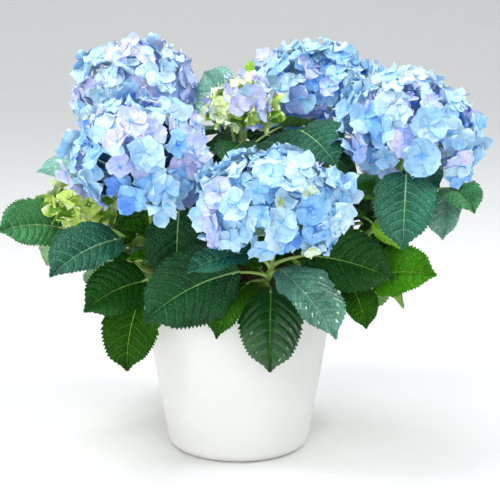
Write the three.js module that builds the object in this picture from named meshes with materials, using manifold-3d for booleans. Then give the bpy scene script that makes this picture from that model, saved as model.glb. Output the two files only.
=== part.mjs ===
// A mophead hydrangea in a plain white pot.
// Millimetres, +Z up, with the origin at the centre of the pot's flat underside. The side that is seen
// first looks along +Y, so +X is to its right and -Y is towards the viewer.
// A short woody stem stands in the compost and forks into boughs. Each bough carries one leafy shoot,
// and most shoots end in a flower head.
import * as THREE from 'three';
import { mergeVertices } from 'three/addons/utils/BufferGeometryUtils.js';
import Module from 'manifold-3d';

const wasm = await Module();
wasm.setup();

// Clear gap between two pieces that touch
const GAP = 0.3;

// Pot: a tapered round pot with slightly bowed sides
const POT = {
  height: 140,
  rimRadius: 82.5,
  taper: 22,
  bow: 1.15,
  wall: 4,
  floor: 5,
  footFlat: 54,
  footRound: 9,
  footSteps: 3,
  sideSteps: 4,
  rimEdge: 0.3,
  sides: 36,
};
const COMPOST = { top: 127, edgeDrop: 4, flatRadius: 24 };

// Woody stem, from its flat cut on the compost to its knuckle
const STUMP = {
  foot: COMPOST.top + GAP,
  height: 36,
  flare: 5.5,
  flareTop: 0.45,
  radius: 10.5,
  knuckle: 0.75,
  crown: 0.5,
  sides: 16,
  steps: 6,
};

// Round stems
const BOUGH = { footRadius: 3.3, tipRadius: 2.8, end: 0.3, sides: 6, steps: 4 };
const SHOOT = { footRadius: 2.8, tipRadius: 2, sides: 5, steps: 6, spread: 0.92, rise: 0.22 };
const STALK = { footRadius: 1.8, tipRadius: 0.8, arch: 0.1, sides: 3, steps: 2, sunk: 0.08 };
const PEDUNCLE = { radius: 2, sides: 5, steps: 2, bend: 8 };

// Leaf blade: ovate, widest two fifths of the way up, folded a little along its midrib
const LEAF = {
  width: 0.68,
  widest: 0.42,
  fullness: 0.72,
  tipPinch: 0.4,
  tipSharpness: 8,
  fold: 12,
  thickness: 2.4,
  stations: 6,
};

// Flower heads are cores set all over with four-lobed florets. Each floret is a thin dish on a neck that
// is sunk into the core.
const FLORET = {
  lobe: 22,
  notch: 0.6,
  notchDrop: 1.8,
  dish: 3,
  thickness: 2,
  neck: 2.5,
  depth: 0.9,
  seat: 0.95,
  lowest: 138,
  points: 12,
};
const CORE = { share: 0.8, largeAcross: 40, largeDetail: 2, smallDetail: 1 };

// Shoots: height of the foot on the woody stem, and the shoot's tip. The lower ones come first, because
// the filling leaves are given out in this order.
const LOW_FORK = 141;
const HIGH_FORK = 151;
const SHOOTS = {
  low_back_left: { foot: LOW_FORK, tip: [-52, 62, 182] },
  low_back_right: { foot: LOW_FORK, tip: [66, 38, 186] },
  back: { foot: LOW_FORK, tip: [16, 82, 160] },
  low_left: { foot: LOW_FORK, tip: [-112, -12, 192] },
  low_right: { foot: LOW_FORK, tip: [70, -30, 185] },
  low_front: { foot: LOW_FORK, tip: [-52, -48, 170] },
  back_left: { foot: HIGH_FORK, tip: [-82, 66, 243] },
  back_right: { foot: HIGH_FORK, tip: [64, 70, 258] },
  front_left: { foot: HIGH_FORK, tip: [-72, -42, 208] },
  front: { foot: LOW_FORK, tip: [28, -66, 178] },
  right: { foot: HIGH_FORK, tip: [132, -12, 228] },
  middle: { foot: STUMP.foot + STUMP.height, tip: [3, -8, 268] },
};

// Flower heads: centre, radius across, radius up, number of florets and their radius
const HEADS = {
  back_left: { centre: [-92, 75, 300], across: 57, up: 49, florets: 25, radius: 17, colour: '#8fa9e0' },
  front_left: { centre: [-80, -50, 265], across: 61, up: 50, florets: 27, radius: 17, colour: '#94aee4' },
  front: { centre: [32, -92, 231], across: 64, up: 46, florets: 27, radius: 17, colour: '#a3c2ea' },
  back_right: { centre: [71, 80, 305], across: 59, up: 40, florets: 24, radius: 17, colour: '#8fb2e6' },
  right: { centre: [147, -15, 282], across: 62, up: 50, florets: 27, radius: 17, colour: '#9aa8e2' },
  middle: { centre: [3, -10, 299], across: 28, up: 24, florets: 14, radius: 9, colour: '#c9cfa8' },
  low_left: { centre: [-132, -12, 217], across: 29, up: 19, florets: 13, radius: 9, colour: '#b9cf86' },
  back: { centre: [20, 110, 198], across: 56, up: 42, florets: 24, radius: 17, colour: '#8fa9e0' },
};

// Leaves with a set place, most of them seen from the front. Each has its place along the shoot, then its
// stalk as heading, lift and length, and its blade as heading, lift, length, droop and roll, in degrees.
const SEEN_LEAVES = {
  low_left: [
    { at: 0.85, stalk: [182, 18, 44], blade: [220, 21, 66, 32, 54] },
    { at: 0.62, stalk: [265, 34, 50], blade: [218, 0, 74, 37, 27] },
    { at: 0.42, stalk: [150, 20, 22], blade: [140, -10, 64, 50, 0] },
  ],
  back_left: [
    { at: 0.6, stalk: [219, 32, 92], blade: [192, 4, 45, 11, 21] },
  ],
  low_front: [
    { at: 0.85, stalk: [185, -14, 27], blade: [220, 3, 67, 35, 56] },
    { at: 0.62, stalk: [212, -8, 42], blade: [233, -49, 67, 46, 35] },
  ],
  front_left: [
    { at: 0.8, stalk: [312, 47, 44], blade: [255, -68, 72, 32, 10] },
  ],
  front: [
    { at: 0.72, stalk: [221, 16, 32], blade: [190, -8, 90, 37, 80] },
    { at: 0.9, stalk: [227, 36, 26], blade: [198, 6, 59, 38, 23] },
    { at: 0.55, stalk: [282, 6, 24], blade: [268, -36, 74, 60, 2] },
    { at: 0.76, stalk: [293, 25, 23], blade: [319, -25, 78, 30, -6] },
    { at: 0.93, stalk: [13, 18, 24], blade: [352, 1, 82, 28, -62] },
    { at: 0.62, stalk: [222, 6, 18], blade: [232, -12, 62, 60, 0] },
  ],
  low_right: [
    { at: 0.6, stalk: [324, -7, 44], blade: [299, -32, 44, 41, -20] },
    { at: 0.9, stalk: [342, -24, 47], blade: [325, 21, 66, 25, -60] },
    { at: 0.5, stalk: [10, -14, 22], blade: [24, -24, 58, 40, 0] },
  ],
  right: [
    { at: 0.85, stalk: [285, 42, 60], blade: [262, -39, 73, 26, -1] },
    { at: 0.7, stalk: [326, 46, 17], blade: [279, -15, 48, 24, -27] },
    { at: 0.92, stalk: [356, 13, 49], blade: [291, 4, 50, 40, -14] },
    { at: 0.76, stalk: [9, 23, 62], blade: [259, -31, 49, 43, -13] },
  ],
  back_right: [
    { at: 0.6, stalk: [270, 58, 88], blade: [299, -6, 66, 30, -30] },
  ],
  middle: [
    { at: 0.75, stalk: [110, 63, 60], blade: [118, 45, 62, 20, 50] },
    { at: 0.9, stalk: [272, 50, 22], blade: [255, 5, 48, 40, 0] },
    { at: 0.6, stalk: [52, 60, 60], blade: [311, 8, 55, 40, -20] },
    { at: 0.8, stalk: [80, 58, 82], blade: [93, 60, 30, 20, 60] },
  ],
};

// Leaves that fill the sides and the back: opposite pairs along each shoot, every pair a quarter turn on
// from the last. A leaf that meets a limb, a flower head or another leaf is turned a little, or left out.
const FILL = {
  seed: 36,
  scatter: 30,
  firstPair: 0.34,
  pairStep: 0.14,
  pairs: 5,
  stalk: { lift: 30, shortest: 22, spread: 14 },
  blade: { lift: 12, droop: 50, shortest: 78, spread: 20, roll: 16 },
  turns: [0, 18, -18, 36, -36, 54, -54, 72, -72],
  lifts: [0, 18, -18, 36, 54],
  front: -22,
  reach: { most: 188, fullHeight: 190, slope: 0.45, side: 156 },
  clear: 7.5,
  clearOfHeads: 4.5,
  ownStem: 20,
};

// Points that are tested on a blade and its stalk
const TEST = { along: 10, across: 4, stalk: [0.3, 0.5, 0.7, 0.9], stem: 20 };

const COLOUR = { pot: '#f2f1ee', compost: '#3a2b20', mainStem: '#6b5540', bough: '#7d8a4c', leaf: '#2f5d3a' };
const ROUGH = { pot: 0.45, compost: 0.95, wood: 0.8, leaf: 0.45, petal: 0.7 };

const radians = THREE.MathUtils.degToRad;

function vector(list) {
  return new THREE.Vector3(...list);
}

function direction(heading, lift) {
  const flat = Math.cos(radians(lift));
  const turn = radians(heading);
  return new THREE.Vector3(flat * Math.cos(turn), flat * Math.sin(turn), Math.sin(radians(lift)));
}

function headingOf(point) {
  return THREE.MathUtils.radToDeg(Math.atan2(point.y, point.x));
}

// Seeded random numbers from 0 to 1
function dice(seed) {
  let state = seed >>> 0;
  return () => {
    state = (state + 0x6d2b79f5) >>> 0;
    let mixed = state;
    mixed = Math.imul(mixed ^ (mixed >>> 15), mixed | 1);
    mixed ^= mixed + Math.imul(mixed ^ (mixed >>> 7), mixed | 61);
    return ((mixed ^ (mixed >>> 14)) >>> 0) / 4294967296;
  };
}

// A closed geometry as a solid: points that fall together are merged, and faces with no area are dropped
function solidOf(geometry) {
  geometry.deleteAttribute('normal');
  geometry.deleteAttribute('uv');
  const merged = mergeVertices(geometry, 1e-4);
  const vertProperties = new Float32Array(merged.attributes.position.array);
  const corners = merged.index.array;
  const kept = [];
  for (let i = 0; i < corners.length; i += 3) {
    const [a, b, c] = corners.slice(i, i + 3);
    if (a !== b && b !== c && c !== a) kept.push(a, b, c);
  }
  const triVerts = new Uint32Array(kept);
  return new wasm.Manifold(new wasm.Mesh({ numProp: 3, vertProperties, triVerts }));
}

// The outer shell of the fused pieces: a sealed hollow is filled and a loose scrap is dropped
function fuse(solids) {
  const joined = wasm.Manifold.union(solids).simplify(0.1);
  const bodies = joined.decompose();
  bodies.sort((a, b) => b.volume() - a.volume());
  return bodies[0];
}

function geometryOf(solid) {
  const { vertProperties, triVerts } = solid.getMesh();
  const geometry = new THREE.BufferGeometry();
  geometry.setAttribute('position', new THREE.BufferAttribute(new Float32Array(vertProperties), 3));
  geometry.setIndex(new THREE.BufferAttribute(new Uint32Array(triVerts), 1));
  return geometry;
}

// Moves every point of a geometry to where the rule puts it
function reshape(geometry, rule) {
  const place = geometry.attributes.position;
  const point = new THREE.Vector3();
  for (let i = 0; i < place.count; i += 1) {
    point.fromBufferAttribute(place, i);
    const moved = rule(point);
    place.setXYZ(i, moved.x, moved.y, moved.z);
  }
  return geometry;
}

// A direction square to the plane in which a curve bends
function squareTo(curve) {
  const normal = curve.v1.clone().sub(curve.v0).cross(curve.v2.clone().sub(curve.v1));
  if (normal.length() < 1e-3) {
    normal.crossVectors(curve.getTangent(0), new THREE.Vector3(0.3, 0.9, 0.1));
  }
  return normal.normalize();
}

// A round limb that tapers along part of a flat curve
function limb(curve, from, to, footRadius, tipRadius, sides, steps) {
  const normal = squareTo(curve);
  const tube = new THREE.CylinderGeometry(1, 1, 1, sides, steps);
  return reshape(tube, (point) => {
    const along = point.y + 0.5;
    const t = from + along * (to - from);
    const radius = footRadius + along * (tipRadius - footRadius);
    const across = normal.clone().cross(curve.getTangent(t));
    const centre = curve.getPoint(t);
    return centre.addScaledVector(normal, point.x * radius).addScaledVector(across, point.z * radius);
  });
}

// The bow of a shoot from its foot on the woody stem to its tip. Its flat foot tilts with it, so the
// middle of the foot is far enough out for its nearest edge to clear the stem by the gap.
function shootCurve({ foot, tip }) {
  const top = vector(tip);
  const rise = SHOOT.rise * (top.z - foot);
  const bend = new THREE.Vector3(top.x * SHOOT.spread, top.y * SHOOT.spread, foot + rise);
  const outward = Math.hypot(bend.x, bend.y);
  const steep = Math.hypot(outward, bend.z - foot);
  const start = direction(headingOf(top), 0);
  if (foot < STUMP.foot + STUMP.height) {
    const wide = stumpRadius((foot - STUMP.foot) / STUMP.height);
    start.multiplyScalar(wide + GAP + (BOUGH.footRadius * (bend.z - foot)) / steep).setZ(foot);
  } else {
    start.set(0, 0, foot + GAP + (BOUGH.footRadius * outward) / steep);
  }
  return new THREE.QuadraticBezierCurve3(start, bend, top);
}

// A blade's middle line bends down steadily from its first lift. Place goes 0 to 1 along it, and side
// goes -1 to 1 across it. The thickness is added along the blade's own normal.
function bladeFrame(leaf, place) {
  const [heading, lift, length, droop] = leaf.blade;
  const bend = radians(droop);
  const angle = radians(lift) - bend * place;
  const out = (length * (Math.sin(radians(lift)) - Math.sin(angle))) / bend;
  const rise = (length * (Math.cos(angle) - Math.cos(radians(lift)))) / bend;
  const ahead = direction(heading, 0);
  const middle = leaf.base.clone().addScaledVector(ahead, out);
  middle.z += rise;
  const normal = ahead.clone().multiplyScalar(-Math.sin(angle)).setZ(Math.cos(angle));
  const right = new THREE.Vector3(ahead.y, -ahead.x, 0);
  return { middle, normal, right };
}

function halfWidth(place) {
  const shape = Math.sin(Math.PI * place ** (Math.log(0.5) / Math.log(LEAF.widest))) ** LEAF.fullness;
  return shape * (1 - LEAF.tipPinch * place ** LEAF.tipSharpness);
}

function bladePoint(leaf, place, side, thickness) {
  const { middle, normal, right } = bladeFrame(leaf, place);
  const [, , length, , roll] = leaf.blade;
  const wide = 0.5 * LEAF.width * length * halfWidth(place);
  const turn = radians(roll);
  const across = right.clone().multiplyScalar(Math.cos(turn)).addScaledVector(normal, Math.sin(turn));
  const above = normal.clone().multiplyScalar(Math.cos(turn)).addScaledVector(right, -Math.sin(turn));
  const fold = radians(LEAF.fold);
  return middle
    .addScaledVector(across, side * wide * Math.cos(fold))
    .addScaledVector(above, Math.abs(side) * wide * Math.sin(fold) + thickness);
}

function bladeSolid(leaf) {
  const form = new THREE.SphereGeometry(1, 4, LEAF.stations);
  reshape(form, (point) => {
    const place = Math.acos(THREE.MathUtils.clamp(point.y, -1, 1)) / Math.PI;
    const ring = Math.hypot(point.x, point.z);
    const side = ring < 1e-6 ? 0 : -point.x / ring;
    const thick = ring < 1e-6 ? 0 : (0.5 * LEAF.thickness * point.z) / ring;
    return bladePoint(leaf, place, Math.round(side), Math.abs(side) > 0.5 ? 0 : thick);
  });
  return solidOf(form);
}

function stalkCurve(leaf) {
  const arch = leaf.root.clone().lerp(leaf.base, 0.5);
  arch.z += STALK.arch * leaf.stalk[2];
  return new THREE.QuadraticBezierCurve3(leaf.root, arch, bladePoint(leaf, STALK.sunk, 0, 0));
}

// A leaf where its numbers put it on its shoot
function placeLeaf(curve, numbers) {
  const root = curve.getPoint(numbers.at);
  const [heading, lift, length] = numbers.stalk;
  const base = root.clone().addScaledVector(direction(heading, lift), length);
  return { ...numbers, root, base };
}

function leafSolids(leaf) {
  const { footRadius, tipRadius, sides, steps } = STALK;
  const stalk = limb(stalkCurve(leaf), 0, 1, footRadius, tipRadius, sides, steps);
  return [solidOf(stalk), bladeSolid(leaf)];
}

// Points all over a blade and its stalk, which other leaves keep clear of
function leafPoints(leaf) {
  const points = [];
  for (let i = 1; i <= TEST.along; i += 1) {
    for (let j = 0; j <= TEST.across; j += 1) {
      points.push(bladePoint(leaf, i / TEST.along, (2 * j) / TEST.across - 1, 0));
    }
  }
  const stalk = stalkCurve(leaf);
  for (const t of TEST.stalk) {
    points.push(stalk.getPoint(t));
  }
  return points;
}

function curvePoints(curve) {
  return curve.getPoints(TEST.stem);
}

function insideHead(point, margin) {
  return Object.values(HEADS).some(({ centre, across, up }) => {
    const x = (point.x - centre[0]) / (across + margin);
    const y = (point.y - centre[1]) / (across + margin);
    const z = (point.z - centre[2]) / (up + margin);
    return x * x + y * y + z * z < 1;
  });
}

function potRadius(height) {
  return POT.rimRadius - POT.taper * (1 - Math.min(height / POT.height, 1)) ** POT.bow;
}

function insidePot(point, margin) {
  const across = Math.hypot(point.x, point.y);
  const inCompost = point.z < COMPOST.top + margin && across < POT.rimRadius;
  const inWall = across < potRadius(point.z) + margin && across > POT.rimRadius - POT.wall - margin;
  return inCompost || (point.z < POT.height + margin && inWall);
}

function meets(points, taken, ownRoot) {
  const others = taken.filter((other) => other.distanceTo(ownRoot) > FILL.ownStem);
  return points.some((point) => {
    if (insideHead(point, FILL.clearOfHeads) || insidePot(point, FILL.clearOfHeads)) return true;
    return others.some((other) => other.distanceTo(point) < FILL.clear);
  });
}

// The filling leaves stay behind the seen ones, within a bowl that widens from the pot upwards
function outOfSpace(point) {
  const { most, fullHeight, slope, side } = FILL.reach;
  const reach = most - slope * Math.max(fullHeight - point.z, 0);
  return point.y < FILL.front || Math.abs(point.x) > side || Math.hypot(point.x, point.y) > reach;
}

// The places that a filling leaf may take, from the first wish to the last
function leafTries(at, heading, roll) {
  const stalkLength = FILL.stalk.shortest + FILL.stalk.spread * roll();
  const bladeLength = FILL.blade.shortest + FILL.blade.spread * roll();
  const rolled = FILL.blade.roll * (2 * roll() - 1);
  return FILL.lifts.flatMap((lift) =>
    FILL.turns.map((turn) => ({
      at,
      stalk: [heading + turn, FILL.stalk.lift + lift, stalkLength],
      blade: [heading + turn, FILL.blade.lift + lift, bladeLength, FILL.blade.droop, rolled],
    })),
  );
}

// Filling leaves of one shoot, by the seeded rule
function fillLeaves(curve, roll, taken) {
  const leaves = [];
  const ahead = headingOf(curve.v2);
  for (let pair = 0; pair < FILL.pairs; pair += 1) {
    for (const half of [0, 180]) {
      const heading = ahead + 90 * (pair + 1) + half + FILL.scatter * (roll() - 0.5);
      const tries = leafTries(FILL.firstPair + FILL.pairStep * pair, heading, roll);
      const leaf = tries.map((numbers) => placeLeaf(curve, numbers)).find((wish) => {
        const points = leafPoints(wish);
        return !points.some(outOfSpace) && !meets(points, taken, wish.root);
      });
      if (leaf) {
        taken.push(...leafPoints(leaf));
        leaves.push(leaf);
      }
    }
  }
  return leaves;
}

// The pot's section, from the middle of its underside out, up, over the rim and down inside
function potProfile() {
  const { height, rimRadius, wall, floor, footFlat, footRound, footSteps, sideSteps, rimEdge } = POT;
  const profile = [[0, 0]];
  for (let i = 0; i <= footSteps; i += 1) {
    const angle = (i / footSteps) * (Math.PI / 2);
    const across = footFlat + (potRadius(footRound) - footFlat) * Math.sin(angle);
    profile.push([across, footRound * (1 - Math.cos(angle))]);
  }
  const shoulder = height - wall / 2;
  for (let i = 1; i <= sideSteps; i += 1) {
    const z = footRound + ((shoulder - footRound) * i) / sideSteps;
    profile.push([potRadius(z), z]);
  }
  profile.push([rimRadius - rimEdge * wall, height]);
  profile.push([rimRadius - (1 - rimEdge) * wall, height]);
  for (let i = sideSteps; i >= 0; i -= 1) {
    const z = floor + ((shoulder - floor) * i) / sideSteps;
    profile.push([potRadius(z) - wall, z]);
  }
  profile.push([0, floor]);
  return profile;
}

// Turns a profile about the upright axis
function turned(profile) {
  const points = profile.map(([across, up]) => new THREE.Vector2(across, up));
  return new THREE.LatheGeometry(points, POT.sides).rotateX(Math.PI / 2);
}

function compostProfile() {
  const { top, edgeDrop, flatRadius } = COMPOST;
  const foot = POT.floor + GAP;
  const profile = [[0, foot]];
  for (let i = 0; i <= POT.sideSteps; i += 1) {
    const z = foot + ((top - edgeDrop - foot) * i) / POT.sideSteps;
    profile.push([potRadius(z) - POT.wall - 2 * GAP, z]);
  }
  profile.push([flatRadius, top]);
  profile.push([0, top]);
  return profile;
}

// The woody stem flares at its foot and rounds over at its knuckle
function stumpRadius(up) {
  const { flare, flareTop, radius, knuckle, crown } = STUMP;
  const root = flare * Math.max(1 - up / flareTop, 0) ** 2;
  const rounded = Math.max(up - knuckle, 0) / (1 - knuckle);
  return root + radius * (1 - (1 - crown) * rounded * rounded);
}

function stumpGeometry() {
  const { foot, height, sides, steps } = STUMP;
  const post = new THREE.CylinderGeometry(1, 1, 1, sides, steps);
  return reshape(post, (point) => {
    const up = point.y + 0.5;
    const wide = stumpRadius(up);
    return new THREE.Vector3(point.x * wide, -point.z * wide, foot + height * up);
  });
}

// One floret: a dish of four notched lobes, narrowed behind to three points of a neck
function floretSolid(place, outward, spin, radius) {
  const { lobe, notch, notchDrop, dish, thickness, neck, depth, points } = FLORET;
  const aside = Math.abs(outward.z) > 0.9 ? new THREE.Vector3(1, 0, 0) : new THREE.Vector3(0, 0, 1);
  const right = aside.cross(outward).normalize().applyAxisAngle(outward, spin);
  const ahead = outward.clone().cross(right);
  const step = 360 / points;
  const at = (angle, reach, height) => {
    const along = right.clone().multiplyScalar(reach * Math.cos(radians(angle)));
    along.addScaledVector(ahead, reach * Math.sin(radians(angle)));
    return along.add(place).addScaledVector(outward, height);
  };
  const form = new THREE.SphereGeometry(1, points, 3);
  reshape(form, (point) => {
    if (point.y > 0.9) return at(0, 0, -dish);
    if (point.y < -0.9) return at(0, 0, -depth * radius);
    const turn = (Math.round(Math.atan2(point.z, -point.x) / radians(step)) + points) % points;
    if (point.y < 0) return at(Math.floor(turn / 4) * 120, neck, -dish - thickness);
    if (turn % 3 === 0) return at(turn * step, radius * notch, -notchDrop);
    const middle = Math.floor(turn / 3) * 90 + 45;
    return at(middle + (turn % 3 === 1 ? -lobe : lobe), radius, 0);
  });
  return solidOf(form);
}

// Florets set over a head in a golden-angle spiral, from its top to its lowest row
function headFlorets(head, roll) {
  const size = new THREE.Vector3(head.across, head.across, head.up);
  const lowest = Math.cos(radians(FLORET.lowest));
  const golden = Math.PI * (3 - Math.sqrt(5));
  return Array.from({ length: head.florets }, (_, i) => {
    const up = 1 - ((i + 0.5) / head.florets) * (1 - lowest);
    const round = Math.sqrt(1 - up * up);
    const unit = new THREE.Vector3(round * Math.cos(i * golden), round * Math.sin(i * golden), up);
    const outward = unit.clone().divide(size).normalize();
    const place = unit.multiply(size).multiplyScalar(FLORET.seat).add(vector(head.centre));
    return floretSolid(place, outward, roll() * Math.PI, head.radius);
  });
}

function coreSolid(head) {
  const detail = head.across > CORE.largeAcross ? CORE.largeDetail : CORE.smallDetail;
  const core = new THREE.IcosahedronGeometry(CORE.share, detail);
  return solidOf(core.scale(head.across, head.across, head.up).translate(...head.centre));
}

// The short stem that carries a flower head on from the tip of its shoot
function peduncleSolid(head, curve) {
  const { radius, sides, steps, bend } = PEDUNCLE;
  const top = curve.getPoint(1);
  const rise = curve.getTangent(1);
  const foot = top.clone().addScaledVector(rise, GAP);
  const turn = top.clone().addScaledVector(rise, bend);
  const line = new THREE.QuadraticBezierCurve3(foot, turn, vector(head.centre));
  return solidOf(limb(line, 0, 1, radius, radius, sides, steps));
}

function headSolid(head, curve, roll) {
  return fuse([coreSolid(head), peduncleSolid(head, curve), ...headFlorets(head, roll)]);
}

function leafySolid(curve, leaves) {
  const start = BOUGH.end + GAP / curve.getLength();
  const { footRadius, tipRadius, sides, steps } = SHOOT;
  const stem = solidOf(limb(curve, start, 1, footRadius, tipRadius, sides, steps));
  return fuse([stem, ...leaves.flatMap(leafSolids)]);
}

function finish(colour, roughness) {
  return new THREE.MeshStandardMaterial({ color: colour, roughness, metalness: 0 });
}

function named(name, geometry, material) {
  const mesh = new THREE.Mesh(geometry, material);
  mesh.name = name;
  return mesh;
}

// Places every leaf: the seen ones first, then the filling ones in what space is left
function placeLeaves(curves, roll) {
  const leaves = {};
  const taken = Object.values(curves).flatMap(curvePoints);
  for (const [name, curve] of Object.entries(curves)) {
    leaves[name] = (SEEN_LEAVES[name] ?? []).map((numbers) => placeLeaf(curve, numbers));
    taken.push(...leaves[name].flatMap(leafPoints));
  }
  for (const [name, curve] of Object.entries(curves)) {
    leaves[name].push(...fillLeaves(curve, roll, taken));
  }
  return leaves;
}

function boughGeometry(curve) {
  return limb(curve, 0, BOUGH.end, BOUGH.footRadius, BOUGH.tipRadius, BOUGH.sides, BOUGH.steps);
}

// The whole plant in its pot
function buildPlant() {
  const plant = new THREE.Group();
  plant.add(named('pot', turned(potProfile()), finish(COLOUR.pot, ROUGH.pot)));
  plant.add(named('compost', turned(compostProfile()), finish(COLOUR.compost, ROUGH.compost)));
  plant.add(named('main_stem', stumpGeometry(), finish(COLOUR.mainStem, ROUGH.wood)));
  const roll = dice(FILL.seed);
  const curves = {};
  for (const [name, shoot] of Object.entries(SHOOTS)) {
    curves[name] = shootCurve(shoot);
  }
  const leaves = placeLeaves(curves, roll);
  for (const [name, curve] of Object.entries(curves)) {
    plant.add(named(`bough_${name}`, boughGeometry(curve), finish(COLOUR.bough, ROUGH.wood)));
    const mass = geometryOf(leafySolid(curve, leaves[name]));
    plant.add(named(`leaves_${name}`, mass, finish(COLOUR.leaf, ROUGH.leaf)));
  }
  for (const [name, head] of Object.entries(HEADS)) {
    const bloom = geometryOf(headSolid(head, curves[name], roll));
    plant.add(named(`bloom_${name}`, bloom, finish(head.colour, ROUGH.petal)));
  }
  return plant;
}

export default buildPlant();
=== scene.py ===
"""A mophead hydrangea in a plain white pot. The plant's rule works in millimetres, as its solids do, and all
meshes are in metres in the same frame: origin under the pot, +Z up, +X to the right, -Y to the viewer."""
from math import atan2, cos, degrees, hypot, log, pi, radians, sin, sqrt
from types import SimpleNamespace as Values

import bpy
import numpy as np
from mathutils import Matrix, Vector, noise


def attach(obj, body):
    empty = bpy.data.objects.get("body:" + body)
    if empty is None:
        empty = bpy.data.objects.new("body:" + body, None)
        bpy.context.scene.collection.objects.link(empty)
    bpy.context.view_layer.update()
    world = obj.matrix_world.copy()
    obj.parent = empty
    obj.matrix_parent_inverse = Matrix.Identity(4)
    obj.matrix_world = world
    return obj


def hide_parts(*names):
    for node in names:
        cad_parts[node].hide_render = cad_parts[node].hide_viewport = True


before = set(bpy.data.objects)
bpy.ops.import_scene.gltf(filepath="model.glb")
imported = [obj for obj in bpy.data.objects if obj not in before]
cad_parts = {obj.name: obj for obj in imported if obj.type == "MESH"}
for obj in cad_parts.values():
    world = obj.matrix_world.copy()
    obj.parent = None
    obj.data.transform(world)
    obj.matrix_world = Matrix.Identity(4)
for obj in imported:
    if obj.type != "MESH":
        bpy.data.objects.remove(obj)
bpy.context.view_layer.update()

MM = 0.001
GAP = 0.3

# Pot, compost and woody stem
POT = Values(height=140, rim_radius=82.5, taper=22, bow=1.15, wall=4, floor=5, foot_flat=54, foot_round=9,
             sides=128, foot_steps=8, side_steps=16, rim_steps=8, inner_steps=12, crisp_angle=40)
COMPOST = Values(top=127, edge_drop=4, sides=96, rings=16)
CRUMB = Values(seed=71, count=620, length=(0.9, 3.4), width=(0.7, 1.9), height=(0.4, 1.0), jitter=0.7,
               tilt=40, from_wall=5, lift=0.2)
STUMP = Values(foot=127 + GAP, height=36, flare=5.5, flare_top=0.45, radius=10.5, knuckle=0.75, crown=0.5,
               sides=64, rings=24, ridges=9, ridge=0.05, fissure=0.09)

# Round stems: radius at the foot and at the tip, their course, and the finer form of their skin
BOUGH = Values(foot=3.3, tip=2.8, end=0.3, rings=48, sides=20, ribs=0.06, rough=0.08, skin=0.5, swell=0.05,
               swells=90)
SHOOT = Values(foot=2.8, tip=2.0, spread=0.92, rise=0.22, rings=40, sides=12, ribs=0.04, skin=0.4,
               knot=0.55, knot_reach=0.016, overlap=0.01)
STALK = Values(foot=1.9, tip=1.15, arch=0.1, sunk=0.08, rings=9, sides=8, flare=1.25, young=0.6)
HEAD_STALK = Values(foot=2.1, tip=2.4, rings=10, sides=10, ribs=0.04, sunk=1.0, rise=8)
FLORET_STALK = Values(foot=0.9, tip=0.5, rings=5, sides=5, start=0.25, sag=4, sunk=0.4)

# Leaf blade: ovate, widest two fifths of the way up, folded a little along its midrib
LEAF = Values(width=0.68, widest=0.42, fullness=0.72, tip_pinch=0.4, tip_sharpness=8, fold=12)

# The finished blade: its outline, teeth, quilted panels and veins, as shares of its length, and how thick it
# is in millimetres
BLADE = Values(width=0.72, widest=0.43, fullness=0.62, pinch=0.55, drawn_from=0.8, drawn_over=0.17,
               tooth=0.038, tooth_seat=0.6, tooth_lean=0.011, quilt=0.024, arch=0.03, wave=0.03, waves=1.5,
               twist=0.09, thick=0.45, least=0.15)
VEIN = Values(pairs=7, first=0.05, last=0.76, half=0.0038, thinning=0.75, midrib=0.0078,
              midrib_thinning=0.8, sweep=0.42, foot=0.045, rung=0.4, groove=0.004, side_groove=0.002,
              thick=0.25, midrib_thick=0.6)

# Height of the rim at each row of a tooth, from its notch to its point
TEETH = (0, 0.5, 1)
# Rows of a blade before its first vein, and those past its last vein: start, place in a panel, and tooth
FOOT_ROWS = 6
TIP_ROWS = ((0.8, 0.4, 0), (0.84, 0.7, 1), (0.88, 0.6, 0), (0.92, 0.5, 1), (0.96, 0.4, 0))

# Shoots: height of the foot on the woody stem, and the shoot's tip
LOW_FORK = 141
HIGH_FORK = 151
SHOOTS = {
    "low_back_left": (LOW_FORK, (-52, 62, 182)),
    "low_back_right": (LOW_FORK, (66, 38, 186)),
    "back": (LOW_FORK, (16, 82, 160)),
    "low_left": (LOW_FORK, (-112, -12, 192)),
    "low_right": (LOW_FORK, (70, -30, 185)),
    "low_front": (LOW_FORK, (-52, -48, 170)),
    "back_left": (HIGH_FORK, (-82, 66, 243)),
    "back_right": (HIGH_FORK, (64, 70, 258)),
    "front_left": (HIGH_FORK, (-72, -42, 208)),
    "front": (LOW_FORK, (28, -66, 178)),
    "right": (HIGH_FORK, (132, -12, 228)),
    "middle": (STUMP.foot + STUMP.height, (3, -8, 268)),
}

# Flower heads: centre, radius across, radius up, open florets and their radius, and which tones they have
HEAD_KEYS = ("centre", "across", "up", "florets", "radius", "mix")
HEAD_ROWS = {
    "back_left": ((-92, 75, 300), 57, 49, 78, 13.4, "airy"),
    "front_left": ((-80, -50, 265), 61, 50, 80, 14.0, "violet"),
    "front": ((32, -92, 231), 64, 46, 90, 13.5, "pale"),
    "back_right": ((71, 80, 305), 59, 40, 76, 13.2, "blue"),
    "right": ((147, -15, 282), 62, 50, 78, 14.0, "lilac"),
    "middle": ((3, -10, 299), 28, 24, 32, 11.2, "young"),
    "low_left": ((-132, -12, 217), 29, 19, 22, 12.5, "lime"),
    "back": ((20, 110, 198), 56, 42, 74, 13.6, "blue"),
}
HEADS = {name: Values(**dict(zip(HEAD_KEYS, row))) for name, row in HEAD_ROWS.items()}

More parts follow.
